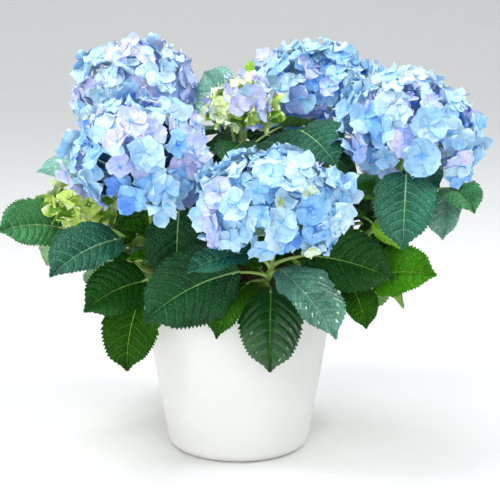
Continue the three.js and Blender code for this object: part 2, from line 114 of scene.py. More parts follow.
# Where a head stands out from its round form or falls short of it: the way it faces, and by what share
LOBES = {
    "back_left": [((0.7, -0.5, -0.5), 0.08), ((-0.6, -0.7, 0.3), -0.06)],
    "front_left": [((0.1, -0.5, -0.85), 0.12), ((0.8, -0.3, 0.5), -0.08), ((-0.9, -0.2, -0.3), 0.06)],
    "front": [((0.85, -0.1, 0.5), -0.16), ((-0.6, -0.5, -0.6), 0.1), ((0.5, -0.5, -0.7), 0.1),
              ((0, -0.7, -0.7), -0.1)],
    "back_right": [((-1, -0.3, 0), 0.1), ((0.1, -0.8, -0.6), 0.1)],
    "right": [((0.8, 0, 0.6), -0.17), ((0.5, -0.6, -0.65), 0.16), ((-0.6, -0.5, -0.6), 0.06)],
}

# A petal: its rows and columns, half its width at each row, how its form varies, as shares of its length, and
# how thick it is in millimetres
PETAL_ROWS = (0, 0.18, 0.38, 0.57, 0.74, 0.89, 1)
ROUND_PETAL = (0.09, 0.31, 0.5, 0.6, 0.59, 0.45, 0.16)
POINTED_PETAL = (0.09, 0.3, 0.5, 0.57, 0.48, 0.29, 0.05)
PETAL_COLUMNS = (-1, -0.52, 0, 0.52, 1)
PETAL = Values(curl=(-0.3, 0.3), tilt=(-0.05, 0.3), edge=(-0.22, 0.16), beat=(4.5, 8), width=(0.94, 1.14),
               ruffle=0.05, notch=0.09, point=0.08, wave=0.1, hollow=0.1, thick=0.35)

# A floret: how pointed its petals are at most, how each petal's turn, length and rise vary, and the share of
# petals in another tone
FLORET = Values(pointed=0.75, turn=0.22, length=(0.9, 1.1), cup=0.1, changed=0.3)
BEAD = Values(rings=(0, 0.45, 0.8, 1.0), radii=(0.6, 1.0, 0.75, 0.3), sides=7, share=0.055, least=0.3,
              lift=0.4, sunk=0.6, bend=0.2)

# A head: the angle down to which it has florets, their seat, the inner layers as share of florets and seat,
# sizes and cups of the florets, the heights from which they have the tones of its top and of its sides, how
# blurred these are, how near a spot is to a lobe, and the shares of centre and shoot tip in its crown
HEAD = Values(lowest=138, seat=0.92, seat_varies=(0.88, 1.06), lump=0.09, lump_size=2.2,
              layers=((0.5, 0.76), (0.3, 0.58)), open=(0.72, 1.2), inner=(0.7, 0.95), small=0.68,
              open_cup=(-0.05, 0.22), young_cup=0.3, inner_cup=0.2, top_from=0.55, sides_from=-0.1, blur=0.35,
              lobe_from=0.35, crown=(0.55, 0.45))

# Leaves with a set place: place along the shoot, then the stalk as heading, lift and length, the blade as
# heading, lift, length, droop and roll in degrees, and the leaf's tone
SET_LEAVES = {
    "low_left": [
        (0.85, (182, 18, 44), (220, 21, 66, 32, 54), "mid"),
        (0.62, (265, 34, 50), (218, 0, 74, 37, 27), "teal"),
        (0.42, (150, 20, 22), (140, -10, 64, 50, 0), "mid"),
    ],
    "back_left": [
        (0.6, (219, 32, 92), (192, 4, 45, 11, 21), "pale"),
    ],
    "low_front": [
        (0.85, (185, -14, 27), (220, 3, 67, 35, 56), "deep"),
        (0.62, (212, -8, 42), (233, -49, 67, 46, 35), "moss"),
    ],
    "front_left": [
        (0.8, (312, 47, 44), (255, -68, 72, 32, 10), "dark"),
    ],
    "front": [
        (0.72, (221, 16, 32), (190, -8, 90, 37, 80), "dark"),
        (0.9, (227, 36, 26), (198, 6, 59, 38, 23), "teal"),
        (0.55, (282, 6, 24), (268, -36, 74, 60, 2), "glossy"),
        (0.76, (293, 25, 23), (319, -25, 78, 30, -6), "silver"),
        (0.93, (13, 18, 24), (352, 1, 82, 28, -62), "deep"),
        (0.62, (222, 6, 18), (232, -12, 62, 60, 0), "moss"),
    ],
    "low_right": [
        (0.6, (324, -7, 44), (299, -32, 44, 41, -20), "moss"),
        (0.9, (342, -24, 47), (325, 21, 66, 25, -60), "fresh"),
        (0.5, (10, -14, 22), (24, -24, 58, 40, 0), "mid"),
    ],
    "right": [
        (0.85, (285, 42, 60), (262, -39, 73, 26, -1), "teal"),
        (0.7, (326, 46, 17), (279, -15, 48, 24, -27), "lime"),
        (0.92, (356, 13, 49), (291, 4, 50, 40, -14), "mid"),
        (0.76, (9, 23, 62), (259, -31, 49, 43, -13), "pale"),
    ],
    "back_right": [
        (0.6, (270, 58, 88), (299, -6, 66, 30, -30), "teal"),
    ],
    "middle": [
        (0.75, (110, 63, 60), (118, 45, 62, 20, 50), "pale"),
        (0.9, (272, 50, 22), (255, 5, 48, 40, 0), "dark"),
        (0.6, (52, 60, 60), (311, 8, 55, 40, -20), "teal"),
        (0.8, (80, 58, 82), (93, 60, 30, 20, 60), "lime"),
    ],
}

# Young leaves with a set place, which close the view between the heads
SET_YOUNG = {
    "low_back_left": [
        (0.68, (185, -32, 23), (201, -26, 59, 24, -64), "deep"),
    ],
    "back": [
        (0.61, (320, -35, 12), (328, 25, 57, 32, -48), "deep"),
    ],
    "low_left": [
        (0.95, (158, -9, 54), (107, -24, 54, 26, -55), "mid"),
        (0.88, (135, 23, 54), (162, 17, 41, 27, -40), "fresh"),
    ],
    "back_left": [
        (0.96, (199, -45, 19), (269, -45, 53, 32, -4), "deep"),
    ],
    "back_right": [
        (0.81, (18, 68, 23), (23, -16, 53, 38, -39), "dark"),
        (0.85, (162, 37, 45), (232, 18, 36, 31, 65), "deep"),
        (0.57, (29, 4, 39), (5, 4, 51, 21, 31), "deep"),
    ],
    "right": [
        (0.93, (70, -32, 26), (182, -44, 56, 54, 59), "deep"),
        (0.96, (37, -13, 40), (90, 45, 57, 45, 24), "teal"),
        (0.8, (109, -21, 48), (50, 40, 45, 46, -46), "deep"),
        (0.55, (315, -58, 44), (97, -31, 35, 29, -26), "deep"),
    ],
    "middle": [
        (0.85, (95, 25, 18), (97, 14, 54, 40, 20), "dark"),
        (0.5, (205, 20, 16), (212, 4, 52, 45, 25), "deep"),
        (0.55, (262, 10, 16), (250, -10, 50, 40, 0), "deep"),
        (0.93, (47, 21, 52), (343, 22, 36, 46, 29), "deep"),
        (0.37, (44, 31, 10), (17, -49, 54, 23, 34), "deep"),
    ],
}

# Leaves that fill the sides and the back, in opposite pairs, as the source's rule gives them out
FILL = Values(seed=36, places=[0.34 + 0.14 * pair for pair in range(5)], halves=(90, 270), scatter=30,
              stalk=22, stalk_varies=14, stalk_lift=30, blade=78, blade_varies=20, blade_lift=12, droop=50,
              roll=16, tone="mid", turns=(0, 18, -18, 36, -36, 54, -54, 72, -72), lifts=(0, 18, -18, 36, 54),
              front=-22, most=188, full_height=190, slope=0.45, side=156, clear=7.5, clear_of_heads=4.5,
              own_stem=20)

# Young leaves that the finer growth adds near the shoots' tips
YOUNG = Values(seed=5, places=(0.5, 0.7, 0.84, 0.97), halves=(45, 225), scatter=40, stalk=9, stalk_lift=44,
               blade=34, blade_varies=22, shrink=1.2, blade_lift=34, droop=40, roll=14, tone="fresh",
               turns=(0, 40, -40, 80, -80), lifts=(0,), clear=3.6, own_stem=12)

# Tones of the filling leaves above this height and below it, each with its limit for a draw from 0 to 1
HIGH = 215
HIGH_TONES = (("dark", 0.6), ("deep", 0.8), ("mid", 1))
LOW_TONES = (("deep", 0.35), ("moss", 0.6), ("mid", 0.8), ("fresh", 1))

# Points along and across a blade, and along its stalk and shoot, that other leaves keep clear of
TEST = Values(places=10, sides=4, stalk=(0.3, 0.5, 0.7, 0.9), shoot=20)

# Leaves with their foot under this height are in the lower one of two pieces
STOREY = 200

# Seeds of the blades' waves and of the first head
LEAF_SEED = 11
HEAD_SEED = 100

# The floor: half its width, how far it runs to the front, where it turns up and how far, and its top
FLOOR = Values(half_width=30, front=-30, bend=2, steps=12, top=5)
# Square studio lamps: place, aim, size, power, colour, and whether glossy leaves show them as highlights
LAMPS = {
    "front": ((0.2, -1.3, 1.0), (0, 0, 0.18), 1.2, 6, (1.0, 1.0, 1.0), False),
    "window": ((-1.3, -0.7, 0.9), (0, 0, 0.18), 1.0, 5, (1.0, 0.99, 0.97), False),
    "high_right": ((0.92, -0.09, 1.27), (0.05, -0.1, 0.15), 0.42, 11, (0.92, 0.97, 1.0), True),
    "high_left": ((-0.6, -0.3, 1.3), (0.05, 0, 0.25), 0.4, 9, (0.92, 0.97, 1.0), True),
    "low_front": ((-0.4, -1.4, 0.16), (0.04, -0.12, 0.12), 0.25, 3, (0.92, 0.97, 1.0), True),
}
SKY = Values(colour=(0.9, 0.95, 1.0, 1), strength=0.7, sun=0.7, sun_angle=30, sun_way=(0.3, -0.3, -1))
CAMERA = Values(pitch=12.5, distance=1.35, target=(0.010, 0, 0.1726), lens=112.63, sensor=36)

# Faces that meet more sharply than this have a crisp edge between them, as at the rim of a petal
RIM_ANGLE = 60


class Dice:
    """Seeded random numbers from 0 to 1, the same ones as the source draws."""

    FULL = 0xFFFFFFFF

    def __init__(self, seed):
        self.state = seed

    def __call__(self):
        self.state = (self.state + 0x6D2B79F5) & self.FULL
        mixed = self.state
        mixed = ((mixed ^ (mixed >> 15)) * (mixed | 1)) & self.FULL
        stirred = ((mixed ^ (mixed >> 7)) * (mixed | 61)) & self.FULL
        mixed = mixed ^ ((mixed + stirred) & self.FULL)
        return (mixed ^ (mixed >> 14)) / 4294967296

    def between(self, low, high):
        return low + (high - low) * self()


def direction(heading, lift):
    turn = radians(heading)
    flat = cos(radians(lift))
    return np.array([flat * cos(turn), flat * sin(turn), sin(radians(lift))])


def heading_of(point):
    return degrees(atan2(point[1], point[0]))


def unit(line):
    return np.asarray(line) / np.linalg.norm(line)


class Bow:
    """A limb's line: a bow from its foot to its tip, drawn towards a bend."""

    def __init__(self, foot, bend, tip):
        self.foot = np.array(foot, float)
        self.bend = np.array(bend, float)
        self.tip = np.array(tip, float)

    def points(self, places):
        t = np.asarray(places, float)[..., None]
        return (1 - t) ** 2 * self.foot + 2 * t * (1 - t) * self.bend + t * t * self.tip

    def tangents(self, places):
        t = np.asarray(places, float)[..., None]
        line = 2 * (1 - t) * (self.bend - self.foot) + 2 * t * (self.tip - self.bend)
        return line / np.linalg.norm(line, axis=-1, keepdims=True)


def stump_radius(up):
    root = STUMP.flare * max(1 - up / STUMP.flare_top, 0) ** 2
    rounded = max(up - STUMP.knuckle, 0) / (1 - STUMP.knuckle)
    return root + STUMP.radius * (1 - (1 - STUMP.crown) * rounded * rounded)


def shoot_line(foot, tip):
    """The bow of a shoot from its foot on the woody stem to its tip, as in the source."""
    top = np.array(tip, float)
    rise = SHOOT.rise * (top[2] - foot)
    bend = np.array([top[0] * SHOOT.spread, top[1] * SHOOT.spread, foot + rise])
    outward = hypot(bend[0], bend[1])
    steep = hypot(outward, rise)
    if foot < STUMP.foot + STUMP.height:
        wide = stump_radius((foot - STUMP.foot) / STUMP.height)
        start = direction(heading_of(top), 0) * (wide + GAP + BOUGH.foot * rise / steep)
        start[2] = foot
    else:
        start = np.array([0, 0, foot + GAP + BOUGH.foot * outward / steep])
    return Bow(start, bend, top)


def oval(place, form):
    """Half the width of a blade at places 0 to 1 along it, as a share of its widest, with a plain tip."""
    stretched = np.clip(place, 0, 1) ** (log(0.5) / log(form.widest))
    return np.maximum(np.sin(pi * stretched), 0) ** form.fullness


def blade_width(leaf, place):
    """Half the width of a blade as the solids have it, in millimetres."""
    pinch = 1 - LEAF.tip_pinch * np.clip(place, 0, 1) ** LEAF.tip_sharpness
    return 0.5 * LEAF.width * leaf.blade[2] * (oval(place, LEAF) * pinch)


def blade_points(leaf, place, across, above):
    """Points of a blade: place along its middle line, millimetres across it, and millimetres above it."""
    heading, lift, length, droop, roll = leaf.blade
    bend = radians(droop)
    first = radians(lift)
    angle = first - bend * place
    out = length * (sin(first) - np.sin(angle)) / bend
    rise = length * (np.cos(angle) - cos(first)) / bend
    ahead = direction(heading, 0)
    middle = leaf.base + out[:, None] * ahead
    middle[:, 2] += rise
    normal = -np.sin(angle)[:, None] * ahead
    normal[:, 2] = np.cos(angle)
    right = np.array([ahead[1], -ahead[0], 0])
    turn = radians(roll)
    side = cos(turn) * right + sin(turn) * normal
    up = cos(turn) * normal - sin(turn) * right
    fold = radians(LEAF.fold)
    height = np.abs(across) * sin(fold) + above
    return middle + (across * cos(fold))[:, None] * side + height[:, None] * up


def stalk_line(leaf):
    arch = (leaf.root + leaf.base) / 2
    arch[2] += STALK.arch * leaf.stalk[2]
    end = blade_points(leaf, np.array([STALK.sunk]), np.zeros(1), np.zeros(1))[0]
    return Bow(leaf.root, arch, end)


def place_leaf(line, at, stalk, blade, tone):
    root = line.points(at)
    heading, lift, length = stalk
    base = root + direction(heading, lift) * length
    return Values(line=line, at=at, stalk=stalk, blade=blade, tone=tone, root=root, base=base)


def leaf_points(leaf):
    """Points all over a blade and its stalk, which other leaves keep clear of."""
    place = np.repeat(np.arange(1, TEST.places + 1) / TEST.places, TEST.sides + 1)
    side = np.tile(2 * np.arange(TEST.sides + 1) / TEST.sides - 1, TEST.places)
    blade = blade_points(leaf, place, side * blade_width(leaf, place), np.zeros(len(place)))
    return np.vstack([blade, stalk_line(leaf).points(TEST.stalk)])


def inside_heads(points, margin):
    found = np.zeros(len(points), bool)
    for head in HEADS.values():
        size = np.array([head.across, head.across, head.up]) + margin
        found |= (((points - head.centre) / size) ** 2).sum(1) < 1
    return found


def pot_radius(height):
    down = 1 - np.minimum(np.asarray(height, float) / POT.height, 1)
    return POT.rim_radius - POT.taper * down ** POT.bow


def inside_pot(points, margin):
    across = np.hypot(points[:, 0], points[:, 1])
    height = points[:, 2]
    compost = (height < COMPOST.top + margin) & (across < POT.rim_radius)
    outside = across < pot_radius(np.maximum(height, 0)) + margin
    wall = outside & (across > POT.rim_radius - POT.wall - margin)
    return compost | ((height < POT.height + margin) & wall)


def out_of_space(points):
    """The filling leaves stay behind the set ones, within a bowl that widens from the pot upwards."""
    reach = FILL.most - FILL.slope * np.maximum(FILL.full_height - points[:, 2], 0)
    wide = np.hypot(points[:, 0], points[:, 1]) > reach
    return bool((wide | (points[:, 1] < FILL.front) | (np.abs(points[:, 0]) > FILL.side)).any())


def meets(points, taken, own_root, rule):
    """Whether a leaf comes too near to a head, the pot, or what has grown before it."""
    if (inside_heads(points, FILL.clear_of_heads) | inside_pot(points, FILL.clear_of_heads)).any():
        return True
    low = points.min(0) - rule.clear
    high = points.max(0) + rule.clear
    near = taken[((taken > low) & (taken < high)).all(1)]
    near = near[np.linalg.norm(near - own_root, axis=1) > rule.own_stem]
    gaps = np.linalg.norm(near[None] - points[:, None], axis=2)
    return bool((gaps < rule.clear).any())


def grow(tries, rule, grown, taken):
    """Adds the first leaf that meets nothing, and its points to those that are taken."""
    for leaf in tries:
        points = leaf_points(leaf)
        if rule is FILL and out_of_space(points):
            continue
        if not meets(points, taken, leaf.root, rule):
            grown.append(leaf)
            return np.vstack([taken, points])
    return taken


def fill_sizes(at, roll):
    """Stalk, blade and roll of a filling leaf."""
    stalk = FILL.stalk + FILL.stalk_varies * roll()
    blade = FILL.blade + FILL.blade_varies * roll()
    return stalk, blade, FILL.roll * (2 * roll() - 1)


def young_sizes(at, roll):
    """Stalk, blade and roll of a young leaf, which is smaller nearer to the shoot's tip."""
    return YOUNG.stalk, YOUNG.blade + YOUNG.blade_varies * roll() * (YOUNG.shrink - at), YOUNG.roll


def leaf_tries(line, at, heading, rule, sizes):
    """The places that a leaf may take, from the first wish to the last."""
    stalk_length, blade_length, rolled = sizes
    for lift in rule.lifts:
        for turn in rule.turns:
            stalk = (heading + turn, rule.stalk_lift + lift, stalk_length)
            blade = (heading + turn, rule.blade_lift + lift, blade_length, rule.droop, rolled)
            yield place_leaf(line, at, stalk, blade, rule.tone)


def grow_pairs(line, rule, sizes, roll, grown, taken):
    """Adds one shoot's leaves in opposite pairs, a quarter turn from pair to pair."""
    for pair, at in enumerate(rule.places):
        for half in rule.halves:
            heading = heading_of(line.tip) + 90 * pair + half + rule.scatter * (roll() - 0.5)
            taken = grow(leaf_tries(line, at, heading, rule, sizes(at, roll)), rule, grown, taken)
    return taken


def set_leaves(table, lines, grown, taken):
    """Adds the leaves with a set place, shoot by shoot."""
    for name, line in lines.items():
        for row in table.get(name, ()):
            grown.append(place_leaf(line, *row))
            taken = np.vstack([taken, leaf_points(grown[-1])])
    return taken


def tone_of_filling(leaf, roll):
    """Filling leaves are darker high up and fresher low down."""
    share = roll()
    tones = HIGH_TONES if leaf.base[2] > HIGH else LOW_TONES
    return next(tone for tone, limit in tones if share < limit)


def grow_leaves(lines):
    """Every leaf of the plant: set ones first, then the filling ones, then the young ones."""
    grown = []
    young = []
    taken = np.vstack([line.points(np.arange(TEST.shoot + 1) / TEST.shoot) for line in lines.values()])
    taken = set_leaves(SET_LEAVES, lines, grown, taken)
    set_count = len(grown)
    roll = Dice(FILL.seed)
    for line in lines.values():
        taken = grow_pairs(line, FILL, fill_sizes, roll, grown, taken)
    tint = Dice(FILL.seed + 1)
    for leaf in grown[set_count:]:
        leaf.tone = tone_of_filling(leaf, tint)
    taken = set_leaves(SET_YOUNG, lines, young, taken)
    roll = Dice(YOUNG.seed)
    for line in lines.values():
        taken = grow_pairs(line, YOUNG, young_sizes, roll, young, taken)
    return grown, young


class Wire:
    """A shader socket that takes part in plain arithmetic."""

    def __init__(self, board, socket):
        self.board = board
        self.socket = socket

    def sum(self, operation, first, second):
        return self.board.node("ShaderNodeMath", {"operation": operation}, {0: first, 1: second})

    def __add__(self, other):
        return self.sum("ADD", self, other)

    def __radd__(self, other):
        return self.sum("ADD", other, self)

    def __rsub__(self, other):
        return self.sum("SUBTRACT", other, self)

    def __mul__(self, other):
        return self.sum("MULTIPLY", self, other)

    def __rmul__(self, other):
        return self.sum("MULTIPLY", other, self)


class Board:
    """The nodes of one material."""

    def __init__(self, name):
        self.material = bpy.data.materials.new(name)
        self.material.use_nodes = True
        self.tree = self.material.node_tree
        self.tree.nodes.clear()

    def node(self, kind, settings=None, values=None, out=0):
        made = self.tree.nodes.new(kind)
        for key, value in (settings or {}).items():
            if key == "stops":
                self.set_stops(made.color_ramp, value)
            else:
                setattr(made, key, value)
        for key, value in (values or {}).items():
            if isinstance(value, Wire):
                self.tree.links.new(value.socket, made.inputs[key])
            else:
                made.inputs[key].default_value = colour(value) if isinstance(value, str) else value
        return Wire(self, made.outputs[out]) if made.outputs else None

    @staticmethod
    def set_stops(ramp, stops):
        while len(ramp.elements) < len(stops):
            ramp.elements.new(1)
        for element, (place, level) in zip(ramp.elements, stops):
            element.position = place
            element.color = (level, level, level, 1)

    def place(self, scale):
        """Object coordinates, stretched."""
        here = self.node("ShaderNodeTexCoord", out="Object")
        return self.node("ShaderNodeMapping", values={"Vector": here, "Scale": scale})

    def noise(self, scale, detail=4, rough=0.5, stretch=(1, 1, 1)):
        values = {"Vector": self.place(stretch), "Scale": scale, "Detail": detail, "Roughness": rough}
        return self.node("ShaderNodeTexNoise", values=values)

    def cells(self, scale, feature="F1", stretch=(1, 1, 1)):
        values = {"Vector": self.place(stretch), "Scale": scale}
        return self.node("ShaderNodeTexVoronoi", {"feature": feature}, values, out="Distance")

    def ramp(self, level, stops):
        return self.node("ShaderNodeValToRGB", {"stops": stops}, {"Fac": level})

    def mix(self, share, first, second):
        return self.node("ShaderNodeMix", {"data_type": "RGBA"}, {0: share, 6: first, 7: second}, out=2)

    def blend(self, level, span, first, second, share=1):
        """The first colour, and up to a share of the second where the level has passed over the span."""
        return self.mix(self.ramp(level, [(span[0], 0), (span[1], share)]), first, second)

    def bump(self, height, strength, distance):
        values = {"Height": height, "Strength": strength, "Distance": distance}
        return self.node("ShaderNodeBump", values=values)

    def finish(self, **values):
        shader = self.node("ShaderNodeBsdfPrincipled", values={
            key.replace("_", " "): value for key, value in values.items()
        })
        self.node("ShaderNodeOutputMaterial", values={"Surface": shader})
        return self.material


def colour(code, shade=1.0):
    """A colour written as on screen, as the linear one that a shader takes."""
    parts = [int(code[i:i + 2], 16) / 255 for i in (1, 3, 5)]
    linear = [part / 12.92 if part <= 0.04045 else ((part + 0.055) / 1.055) ** 2.4 for part in parts]
    return (*[shade * part for part in linear], 1)


def glaze_finish():
    """Satin white glaze, a little uneven."""
    board = Board("white_glaze")
    cloud = board.noise(18, 3)
    grain = board.noise(900, 2)
    tint = board.blend(cloud, (0.3, 0.7), "#dbd9d5", "#e1dfdc")
    normal = board.bump(cloud * 0.8 + grain * 0.2, 0.25, 0.0006)
    return board.finish(Base_Color=tint, Roughness=0.34 + 0.12 * cloud, Coat_Weight=0.15, Coat_Roughness=0.25,
                        Normal=normal)


def compost_finish(name, dark, light):
    board = Board(name)
    lumps = board.noise(420, 6, 0.7)
    tint = board.blend(lumps, (0.35, 0.7), dark, light)
    return board.finish(Base_Color=tint, Roughness=0.95, Normal=board.bump(lumps, 0.9, 0.002))


def bark_finish():
    """Grey-brown bark with long fissures."""
    board = Board("bark")
    fissures = board.noise(260, 6, 0.65, (1, 1, 0.25))
    tint = board.blend(fissures, (0.38, 0.62), "#4a3524", "#9a7f5c")
    tint = board.blend(board.noise(70, 3), (0.5, 0.75), tint, "#8d8a5e", 0.6)
    return board.finish(Base_Color=tint, Roughness=0.85, Normal=board.bump(fissures, 0.8, 0.0015))


def stem_finish(name, green, tinge, share, relief):
    """Green stem skin with faint ribs, and corky specks and a reddish tinge in places."""
    board = Board(name)
    streaks = board.noise(300, 4, 0.6, (1, 1, 0.2))
    specks = board.ramp(board.cells(420, stretch=(1, 1, 0.45)), [(0.12, 1), (0.2, 0)])
    tint = board.mix(streaks * 0.5, green, colour(green, 0.6))
    tint = board.blend(board.noise(45, 2), (0.5, 0.72), tint, tinge, share)
    tint = board.mix(specks * 0.5, tint, "#8a6a45")
    normal = board.bump(streaks, relief, 0.0005)
    return board.finish(Base_Color=tint, Roughness=0.5 + 0.1 * streaks, Normal=normal)


def blade_finish(name, deep, light, roughness, shine, relief):
    """The upper face of a leaf: pebbled skin, mottled finely and in larger spots, with painted shade along
    its crease lines and broad patches of painted sheen.
    """
    board = Board(name)
    creases_and_shade = board.ramp(board.cells(340, "DISTANCE_TO_EDGE"), [(0, 0), (0.3, 1)])
    fine = board.noise(800, 3)
    crinkle = board.noise(240, 4, 0.6)
    tint = board.blend(board.noise(55, 4), (0.3, 0.7), deep, light)
    tint = board.blend(crinkle, (0.42, 0.62), tint, colour(light, 1.7), 0.35)
    # Broad lighter patches are painted sheen
    tint = board.blend(board.noise(24, 2), (0.48, 0.7), tint, colour(light, 2.0), 0.55)
    # Painted shade along the crease lines, which also give the bump
    tint = board.mix((1 - creases_and_shade) * 0.5, tint, colour(deep, 0.55))
    normal = board.bump(creases_and_shade * 0.6 + fine * 0.1 + crinkle * 0.7, relief, 0.0012)
    glossy = shine > 0.5
    return board.finish(Base_Color=tint, Roughness=roughness + 0.1 * fine, Normal=normal, Coat_Roughness=0.1,
                        Specular_IOR_Level=0.1 if glossy else shine, Coat_Weight=shine if glossy else 0.0)


def plain_leaf_finish(name, code, roughness):
    """Veins and undersides, which are duller."""
    board = Board(name)
    cloud = board.noise(160, 4)
    tint = board.mix(cloud * 0.5, code, colour(code, 0.72))
    return board.finish(Base_Color=tint, Roughness=roughness, Specular_IOR_Level=0.25,
                        Normal=board.bump(cloud, 0.3, 0.0005))


def petal_finish(name, code, edge):
    """Soft petal with faint ribs. Painted light: it emits a little, in a deeper tone, to stand in for light
    that comes through it.
    """
    board = Board(name)
    ribs = board.noise(650, 3, 0.6)
    tint = board.blend(board.noise(95, 3), (0.32, 0.68), code, edge)
    spots = board.ramp(board.noise(210, 2), [(0.38, 0.6), (0.52, 0)])
    tint = board.mix(spots, tint, colour(code, 0.72))
    # Painted light: the emission colour, a deeper tone of the petal's own
    painted_glow = (*[part ** 2 for part in colour(code)[:3]], 1)
    return board.finish(Base_Color=tint, Roughness=0.55 + 0.1 * ribs, Normal=board.bump(ribs, 0.45, 0.0005),
                        Specular_IOR_Level=0.3, Emission_Color=painted_glow, Emission_Strength=PAINTED_GLOW)


def bead_finish(name, code):
    board = Board(name)
    grain = board.noise(1500, 2)
    tint = board.mix(grain * 0.4, code, colour(code, 0.7))
    return board.finish(Base_Color=tint, Roughness=0.35, Normal=board.bump(grain, 0.3, 0.0002))


def floor_finish():
    board = Board("pale_floor")
    grain = board.noise(60, 3)
    tint = board.mix(grain * 0.3, "#e8e6e4", "#e0deda")
    return board.finish(Base_Color=tint, Roughness=0.6)


# Leaf tones: two colours of the upper face, its roughness, shine and relief, and the colours of its veins,
# midrib and underside
LEAF_TONES = {
    "dark": ("#083210", "#124a22", 0.32, 0.25, 0.8, "#2c6a3c", "#7fac6a", "#5f8a66"),
    "teal": ("#124834", "#20674a", 0.32, 0.36, 0.8, "#5c9c7a", "#98c28e", "#6c9880"),
    "deep": ("#0a3905", "#164e0a", 0.3, 0.25, 0.8, "#2f6a20", "#7ca450", "#628c4c"),
    "glossy": ("#0a360b", "#134a11", 0.3, 1.0, 0.5, "#2a6026", "#5c8c40", "#628c4c"),
    # This tone has a real coat, and its paler mottled greens are painted sheen
    "silver": ("#1e563a", "#62967e", 0.3, 1.0, 0.5, "#6ca084", "#9cc49c", "#6c9880"),
    "moss": ("#184301", "#255404", 0.34, 0.1, 0.8, "#47801e", "#8aae48", "#6c9444"),
    "mid": ("#306c3a", "#448c52", 0.32, 0.33, 0.8, "#84bc7c", "#b4d08c", "#78a070"),
    "fresh": ("#2c6a08", "#428410", 0.34, 0.1, 0.8, "#6aa634", "#a8cc5c", "#86b04c"),
    # This pale tone is painted light and sheen: a lighter copy of the leaf green for strongly lit leaves
    "pale": ("#5c9480", "#84b2a0", 0.32, 0.36, 0.6, "#96c0a8", "#b4d2b0", "#84a894"),
    "lime": ("#74ad20", "#9cce3c", 0.4, 0.2, 0.6, "#b8dc6c", "#d2e88c", "#aacc60"),
}
TONE_NAMES = list(LEAF_TONES)

# Skins of the stems: green, tinge, how far it goes, and relief
STEM_SKINS = {
    "boughs": ("#8a8a55", "#7a5238", 0.8, 0.8),
    "shoots": ("#7fa048", "#8a5a3c", 0.5, 0.3),
    "leaf_stalks": ("#a9c86a", "#a0603f", 0.45, 0.3),
    "floret_stalks": ("#a9cfa0", "#8fb0dd", 0.6, 0.3),
    "head_stalks": ("#8fb052", "#7f9a4a", 0.4, 0.3),
}
CRUMB_TONES = {
    "crumb_dark": ("#20150e", "#3d2a1c"),
    "crumb_brown": ("#4a3222", "#6e4d33"),
    "crumb_pale": ("#7a5c3e", "#a5845c"),
}

# Petal tones: two colours, the tone at the heart of such a floret, the tone of the rim, and the tones that
# some of its petals have instead
PETALS = {
    "white": ("#c0d8e6", "#cee2ee", "ice", "white", {"ice": 1}),
    "ice": ("#a8cae0", "#bedae8", "sky", "white", {"sky": 1}),
    "sky": ("#8cbadc", "#a8cce6", "blue", "ice", {"ice": 1, "blue": 1}),
    "blue": ("#78b0e2", "#94c4ea", "deep", "sky", {"sky": 1, "deep": 1}),
    "deep": ("#5284d6", "#6e9ce2", "deep", "blue", {"blue": 1}),
    "periwinkle": ("#94a8e0", "#aabce8", "blue", "lilac", {"sky": 1, "lilac": 1}),
    "lilac": ("#b0bce2", "#c2cce8", "periwinkle", "pink", {"pink": 1, "periwinkle": 1}),
    "pink": ("#c2c0e2", "#d2d0e8", "lilac", "white", {"lilac": 1, "ice": 1}),
    "cream": ("#ccdcc2", "#d8e6d4", "lime", "cream", {"ice": 1}),
    "butter": ("#dce4ac", "#e6eec6", "lime", "butter", {"cream": 1}),
    "lime": ("#b0cc52", "#cce080", "leafy", "butter", {"lime": 2, "leafy": 1}),
    "leafy": ("#4c7a1c", "#6f9c30", "leafy", "lime", {"lime": 1}),
    # The shade tone is painted shade: a dark navy for florets deep inside a head
    "shade": ("#123246", "#1f4c6c", "shade", "shade", {"shade": 1}),
}
PETAL_NAMES = list(PETALS)

# Strength of the painted light that petals emit, standing in for the light they let through
PAINTED_GLOW = 0.13

# Share of each tone on the top, the sides and the underside of a head. The paler tones on top and the deeper
# ones underneath are partly the head's own colour and partly painted light from above and painted shade below
MIXES = {
    "violet": ({"white": 3, "ice": 6, "sky": 4, "lilac": 3, "cream": 0.4},
               {"ice": 5, "sky": 7, "blue": 1, "lilac": 5, "periwinkle": 1, "pink": 2, "cream": 0.5},
               {"sky": 6, "blue": 3, "periwinkle": 2, "lilac": 2, "ice": 2}),
    "airy": ({"white": 8, "ice": 2, "pink": 5, "cream": 0.5},
             {"white": 8, "ice": 2, "lilac": 2, "pink": 5},
             {"white": 6, "ice": 3, "sky": 1, "lilac": 2, "pink": 3}),
    "pale": ({"white": 5, "ice": 7, "sky": 2},
             {"white": 1, "ice": 5, "sky": 7, "blue": 2, "lilac": 0.5, "cream": 0.8},
             {"ice": 3, "sky": 6, "blue": 3, "cream": 0.8}),
    "blue": ({"white": 6, "ice": 5, "sky": 2, "lilac": 1},
             {"white": 5, "ice": 6, "sky": 5, "blue": 3, "lilac": 1},
             {"white": 3, "ice": 4, "sky": 5, "blue": 4, "periwinkle": 1}),
    "lilac": ({"white": 7, "ice": 6, "sky": 1, "lilac": 1},
              {"white": 3, "ice": 4, "sky": 4, "lilac": 4, "periwinkle": 1, "pink": 3},
              {"ice": 2, "periwinkle": 3, "blue": 2, "lilac": 4, "pink": 1, "sky": 3}),
    "young": ({"butter": 6, "lime": 1, "pink": 3, "lilac": 2},
              {"butter": 6, "lime": 2, "lilac": 2, "pink": 2},
              {"lime": 3, "lilac": 3, "butter": 5}),
    "lime": ({"lime": 8, "butter": 1},
             {"lime": 8, "butter": 2, "sky": 0.8},
             {"lime": 9, "butter": 1, "leafy": 1}),
}

